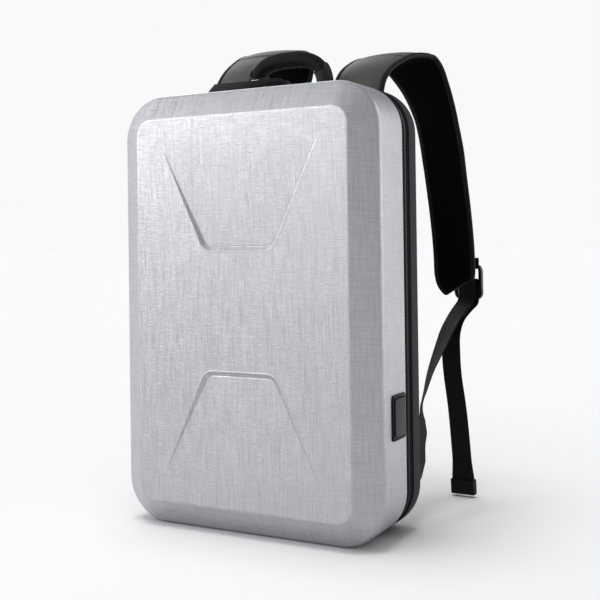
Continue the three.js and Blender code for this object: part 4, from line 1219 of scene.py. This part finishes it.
class BACKPACK_OT_webbing(bpy.types.Operator):
    """Builds the ribbed webbing, the adjusters' loops and the lower tabs"""

    bl_idname = "backpack.webbing"
    bl_label = "Webbing"

    def execute(self, context):
        cloth = sizes("cloth")
        for side in ("left", "right"):
            tab_low, tab_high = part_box("lower_tab_" + side)
            loop_low, loop_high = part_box("adjuster_loop_" + side)
            for name, start in (("webbing_" + side, tab_low), ("adjuster_loop_" + side, loop_high)):
                strip = Strip(name, 4, start, (0, -1, 0), 2)
                mesh = self.ribbed(strip, cloth)
                if name.startswith("webbing"):
                    mesh = joined(mesh, self.folded_end(strip, cloth))
                keep(name + "_cloth", mesh, "case", [name], ["webbing"])
            tab = softened("lower_tab_" + side, 0.0006, 2)
            keep("lower_tab_%s_cloth" % side, tab, "case", ["lower_tab_" + side], ["webbing"])
        return {"FINISHED"}

    @staticmethod
    def folded_end(strip, cloth):
        """The tail's end, folded over twice and sewn: a flat wrap a little wider than the webbing."""
        rows, uvs = [], []
        total = strip.run[-1]
        proud, edge = 0.0007, 0.0004
        for back, grow in ((cloth.fold, -edge), (cloth.fold - 0.0005, 0.0), (cloth.fold / 2, 0.0),
                           (0.0002, 0.0), (-0.0003, -edge)):
            place = min(total - back, total)
            numbers = np.array([np.interp(place, strip.run, column) for column in strip.rows.T])
            middle, across, out = numbers[:3], numbers[3:6], numbers[6:9]
            wide, thick = numbers[9] + proud + grow, numbers[10] * 2.0 + grow
            middle = middle + np.cross(across, out) * 0.0002 * (back < 0)
            ring = [(wide, 0), (wide - edge, thick), (0, thick), (edge - wide, thick), (-wide, 0),
                    (edge - wide, -thick), (0, -thick), (wide - edge, -thick)]
            rows.append([middle + across * a + out * n for a, n in ring])
            uvs.append([(a, place) for a, n in ring] + [(wide, place)])
        return skin(rows, around=True, caps=True, uv=uvs)

    @staticmethod
    def ribbed(strip, cloth):
        """Webbing with lengthwise ribs and rounded edges."""
        rows, uvs = [], []
        count = cloth.web_ribs * 4 + 1
        for k in range(len(strip.run)):
            wide, thick = strip.half_wide[k], strip.half_thick[k]
            face = []
            for share in np.linspace(1, -1, count):
                rib = 0.5 - 0.5 * math.cos((share + 1) * math.pi * cloth.web_ribs)
                lift = thick - cloth.web_rib * (1 - rib)
                face.append((share * (wide - thick * 0.4), lift))
            ring = [(wide, 0)] + face + [(-wide, 0)] + [(a, -n) for a, n in face[::-1]]
            rows.append([strip.point(k, a, n) for a, n in ring])
            girth = travel(ring)
            uvs.append([(g, strip.run[k]) for g in girth] + [(girth[-1], strip.run[k])])
        return skin(rows, around=True, caps=True, uv=uvs)


class BACKPACK_OT_adjusters(bpy.types.Operator):
    """Builds the two ladder adjusters"""

    bl_idname = "backpack.adjusters"
    bl_label = "Adjusters"

    def execute(self, context):
        for side in ("left", "right"):
            name = "adjuster_" + side
            keep(name + "_frame", softened(name, 0.0011, 4), "case", [name], ["acetal"])
        return {"FINISHED"}


CAMERA_PLACE = Vector((0.536, -0.9271, 0.303))
CAMERA_TURN = {"yaw": 28.09, "pitch": -0.54, "roll": -0.76}
FRAME_SHIFT = -70 / 600


class BACKPACK_OT_stage(bpy.types.Operator):
    """Builds the pale floor, the soft studio lights and the camera"""

    bl_idname = "backpack.stage"
    bl_label = "Stage"

    def execute(self, context):
        stage = sizes("stage")
        reach = stage.floor_size
        floor = bpy.data.meshes.new("floor")
        floor.from_pydata([(-reach, -reach, 0), (reach, -reach, 0), (reach, reach, 0), (-reach, reach, 0)],
                          [], [(0, 1, 2, 3)])
        floor.transform(Matrix.Translation((0, 0, -0.0004)))
        piece = keep("floor", floor, None, finishes=["floor"])
        self.lights()
        self.camera(stage)
        return {"FINISHED"}

    @staticmethod
    def lights():
        """A broad soft light for the floor, softboxes for the backpack, and a sky that is brighter on the
        photo's left. What the camera sees behind the floor is one even tone."""
        scene = bpy.context.scene
        scene.view_settings.view_transform = "Standard"
        world = bpy.data.worlds.new("studio")
        scene.world = world
        world.use_nodes = True
        tree = world.node_tree
        tree.nodes.clear()
        seen = add(tree, "ShaderNodeBackground", {"Color": (0.945, 0.945, 0.947, 1), "Strength": 1.0})
        towards = add(tree, "ShaderNodeVectorMath", {
            "Vector": add(tree, "ShaderNodeTexCoord").outputs["Generated"],
        }, operation="DOT_PRODUCT")
        towards.inputs[1].default_value = Vector((-0.7, -0.3, 0.48)).normalized()
        glow = add(tree, "ShaderNodeMapRange", {
            "Value": towards.outputs["Value"], "From Min": -0.6, "To Min": 0.18, "To Max": 0.82,
        }, interpolation_type="SMOOTHSTEP")
        fill = add(tree, "ShaderNodeBackground", {
            "Color": (0.945, 0.96, 0.985, 1), "Strength": glow.outputs["Result"],
        })
        path = add(tree, "ShaderNodeLightPath")
        both = add(tree, "ShaderNodeMixShader", {"Fac": path.outputs["Is Camera Ray"]})
        tree.links.new(fill.outputs[0], both.inputs[1])
        tree.links.new(seen.outputs[0], both.inputs[2])
        add(tree, "ShaderNodeOutputWorld", {"Surface": both.outputs[0]})
        sun = bpy.data.lights.new("broad light", "SUN")
        sun.energy = 1.53
        sun.angle = math.radians(32)
        lamp = placed("broad light", sun)
        lamp.rotation_euler = Vector((-0.08, -0.05, 1.0)).to_track_quat("Z", "Y").to_euler()
        lamp.light_linking.receiver_collection = lit_group("floor pieces")
        # each softbox: name, place, what it aims at, width, height, power in watts
        for name, place, aim, wide, high, power in (
            ("key softbox", (-1.3, -1.2, 1.1), (-0.05, 0, 0.36), 1.3, 1.2, 29.5),
            ("side softbox", (1.35, 1.0, 0.75), (0.15, 0, 0.25), 0.9, 1.5, 15),
            ("rear softbox", (-1.3, 1.6, 1.5), (0, 0.1, 0.3), 1.2, 1.2, 14),
        ):
            light = bpy.data.lights.new(name, "AREA")
            light.shape = "RECTANGLE"
            light.energy = power
            light.size, light.size_y = wide, high
            lamp = placed(name, light)
            lamp.location = place
            lamp.rotation_euler = (Vector(place) - Vector(aim)).to_track_quat("Z", "Y").to_euler()
            lamp.visible_camera = False
            lamp.light_linking.receiver_collection = lit_group("backpack pieces")

    @staticmethod
    def camera(stage):
        """The photograph's viewpoint, lens and framing."""
        yaw, pitch, roll = (math.radians(CAMERA_TURN[k]) for k in ("yaw", "pitch", "roll"))
        back = Vector((math.sin(yaw) * math.cos(pitch), -math.cos(yaw) * math.cos(pitch), math.sin(pitch)))
        right = Vector((math.cos(yaw), math.sin(yaw), 0))
        up = back.cross(right)
        right, up = (right * math.cos(roll) + up * math.sin(roll),
                     up * math.cos(roll) - right * math.sin(roll))
        lens = bpy.data.cameras.new("camera")
        lens.sensor_width = 36
        lens.lens = stage.lens
        lens.shift_y = FRAME_SHIFT
        lens.clip_end = 200
        camera = placed("camera", lens)
        turn = Matrix((right, up, back)).transposed().to_4x4()
        camera.matrix_world = Matrix.Translation(CAMERA_PLACE) @ turn
        bpy.context.scene.camera = camera


PIECES = (
    BACKPACK_OT_front_shell, BACKPACK_OT_back_shell, BACKPACK_OT_zip_band, BACKPACK_OT_port, BACKPACK_OT_lock,
    BACKPACK_OT_back_pad, BACKPACK_OT_handle, BACKPACK_OT_shoulder_straps, BACKPACK_OT_webbing,
    BACKPACK_OT_adjusters, BACKPACK_OT_stage,
)
GROUPS = {
    "case": BackpackCaseSizes, "zip": BackpackZipSizes, "cloth": BackpackClothSizes,
    "hardware": BackpackHardwareSizes, "colours": BackpackColours, "stage": BackpackStageSizes,
}


class BACKPACK_PT_panel(bpy.types.Panel):
    """Lists the backpack's pieces"""

    bl_idname = "BACKPACK_PT_panel"
    bl_label = "Backpack"
    bl_space_type = "VIEW_3D"
    bl_region_type = "UI"
    bl_category = "Backpack"

    def draw(self, context):
        for piece in PIECES:
            self.layout.operator(piece.bl_idname)
        for name, group in GROUPS.items():
            box = self.layout.box()
            for prop in group.__annotations__:
                box.prop(getattr(context.scene, "backpack_" + name), prop)


def register():
    for group in GROUPS.values():
        bpy.utils.register_class(group)
    for name, group in GROUPS.items():
        setattr(bpy.types.Scene, "backpack_" + name, PointerProperty(type=group))
    for piece in PIECES:
        bpy.utils.register_class(piece)
    bpy.utils.register_class(BACKPACK_PT_panel)


def unregister():
    bpy.utils.unregister_class(BACKPACK_PT_panel)
    for piece in reversed(PIECES):
        bpy.utils.unregister_class(piece)
    for name, group in GROUPS.items():
        delattr(bpy.types.Scene, "backpack_" + name)
        bpy.utils.unregister_class(group)


def main():
    register()
    for piece in PIECES:
        family, name = piece.bl_idname.split(".")
        getattr(getattr(bpy.ops, family), name)()


if __name__ == "__main__":
    main()
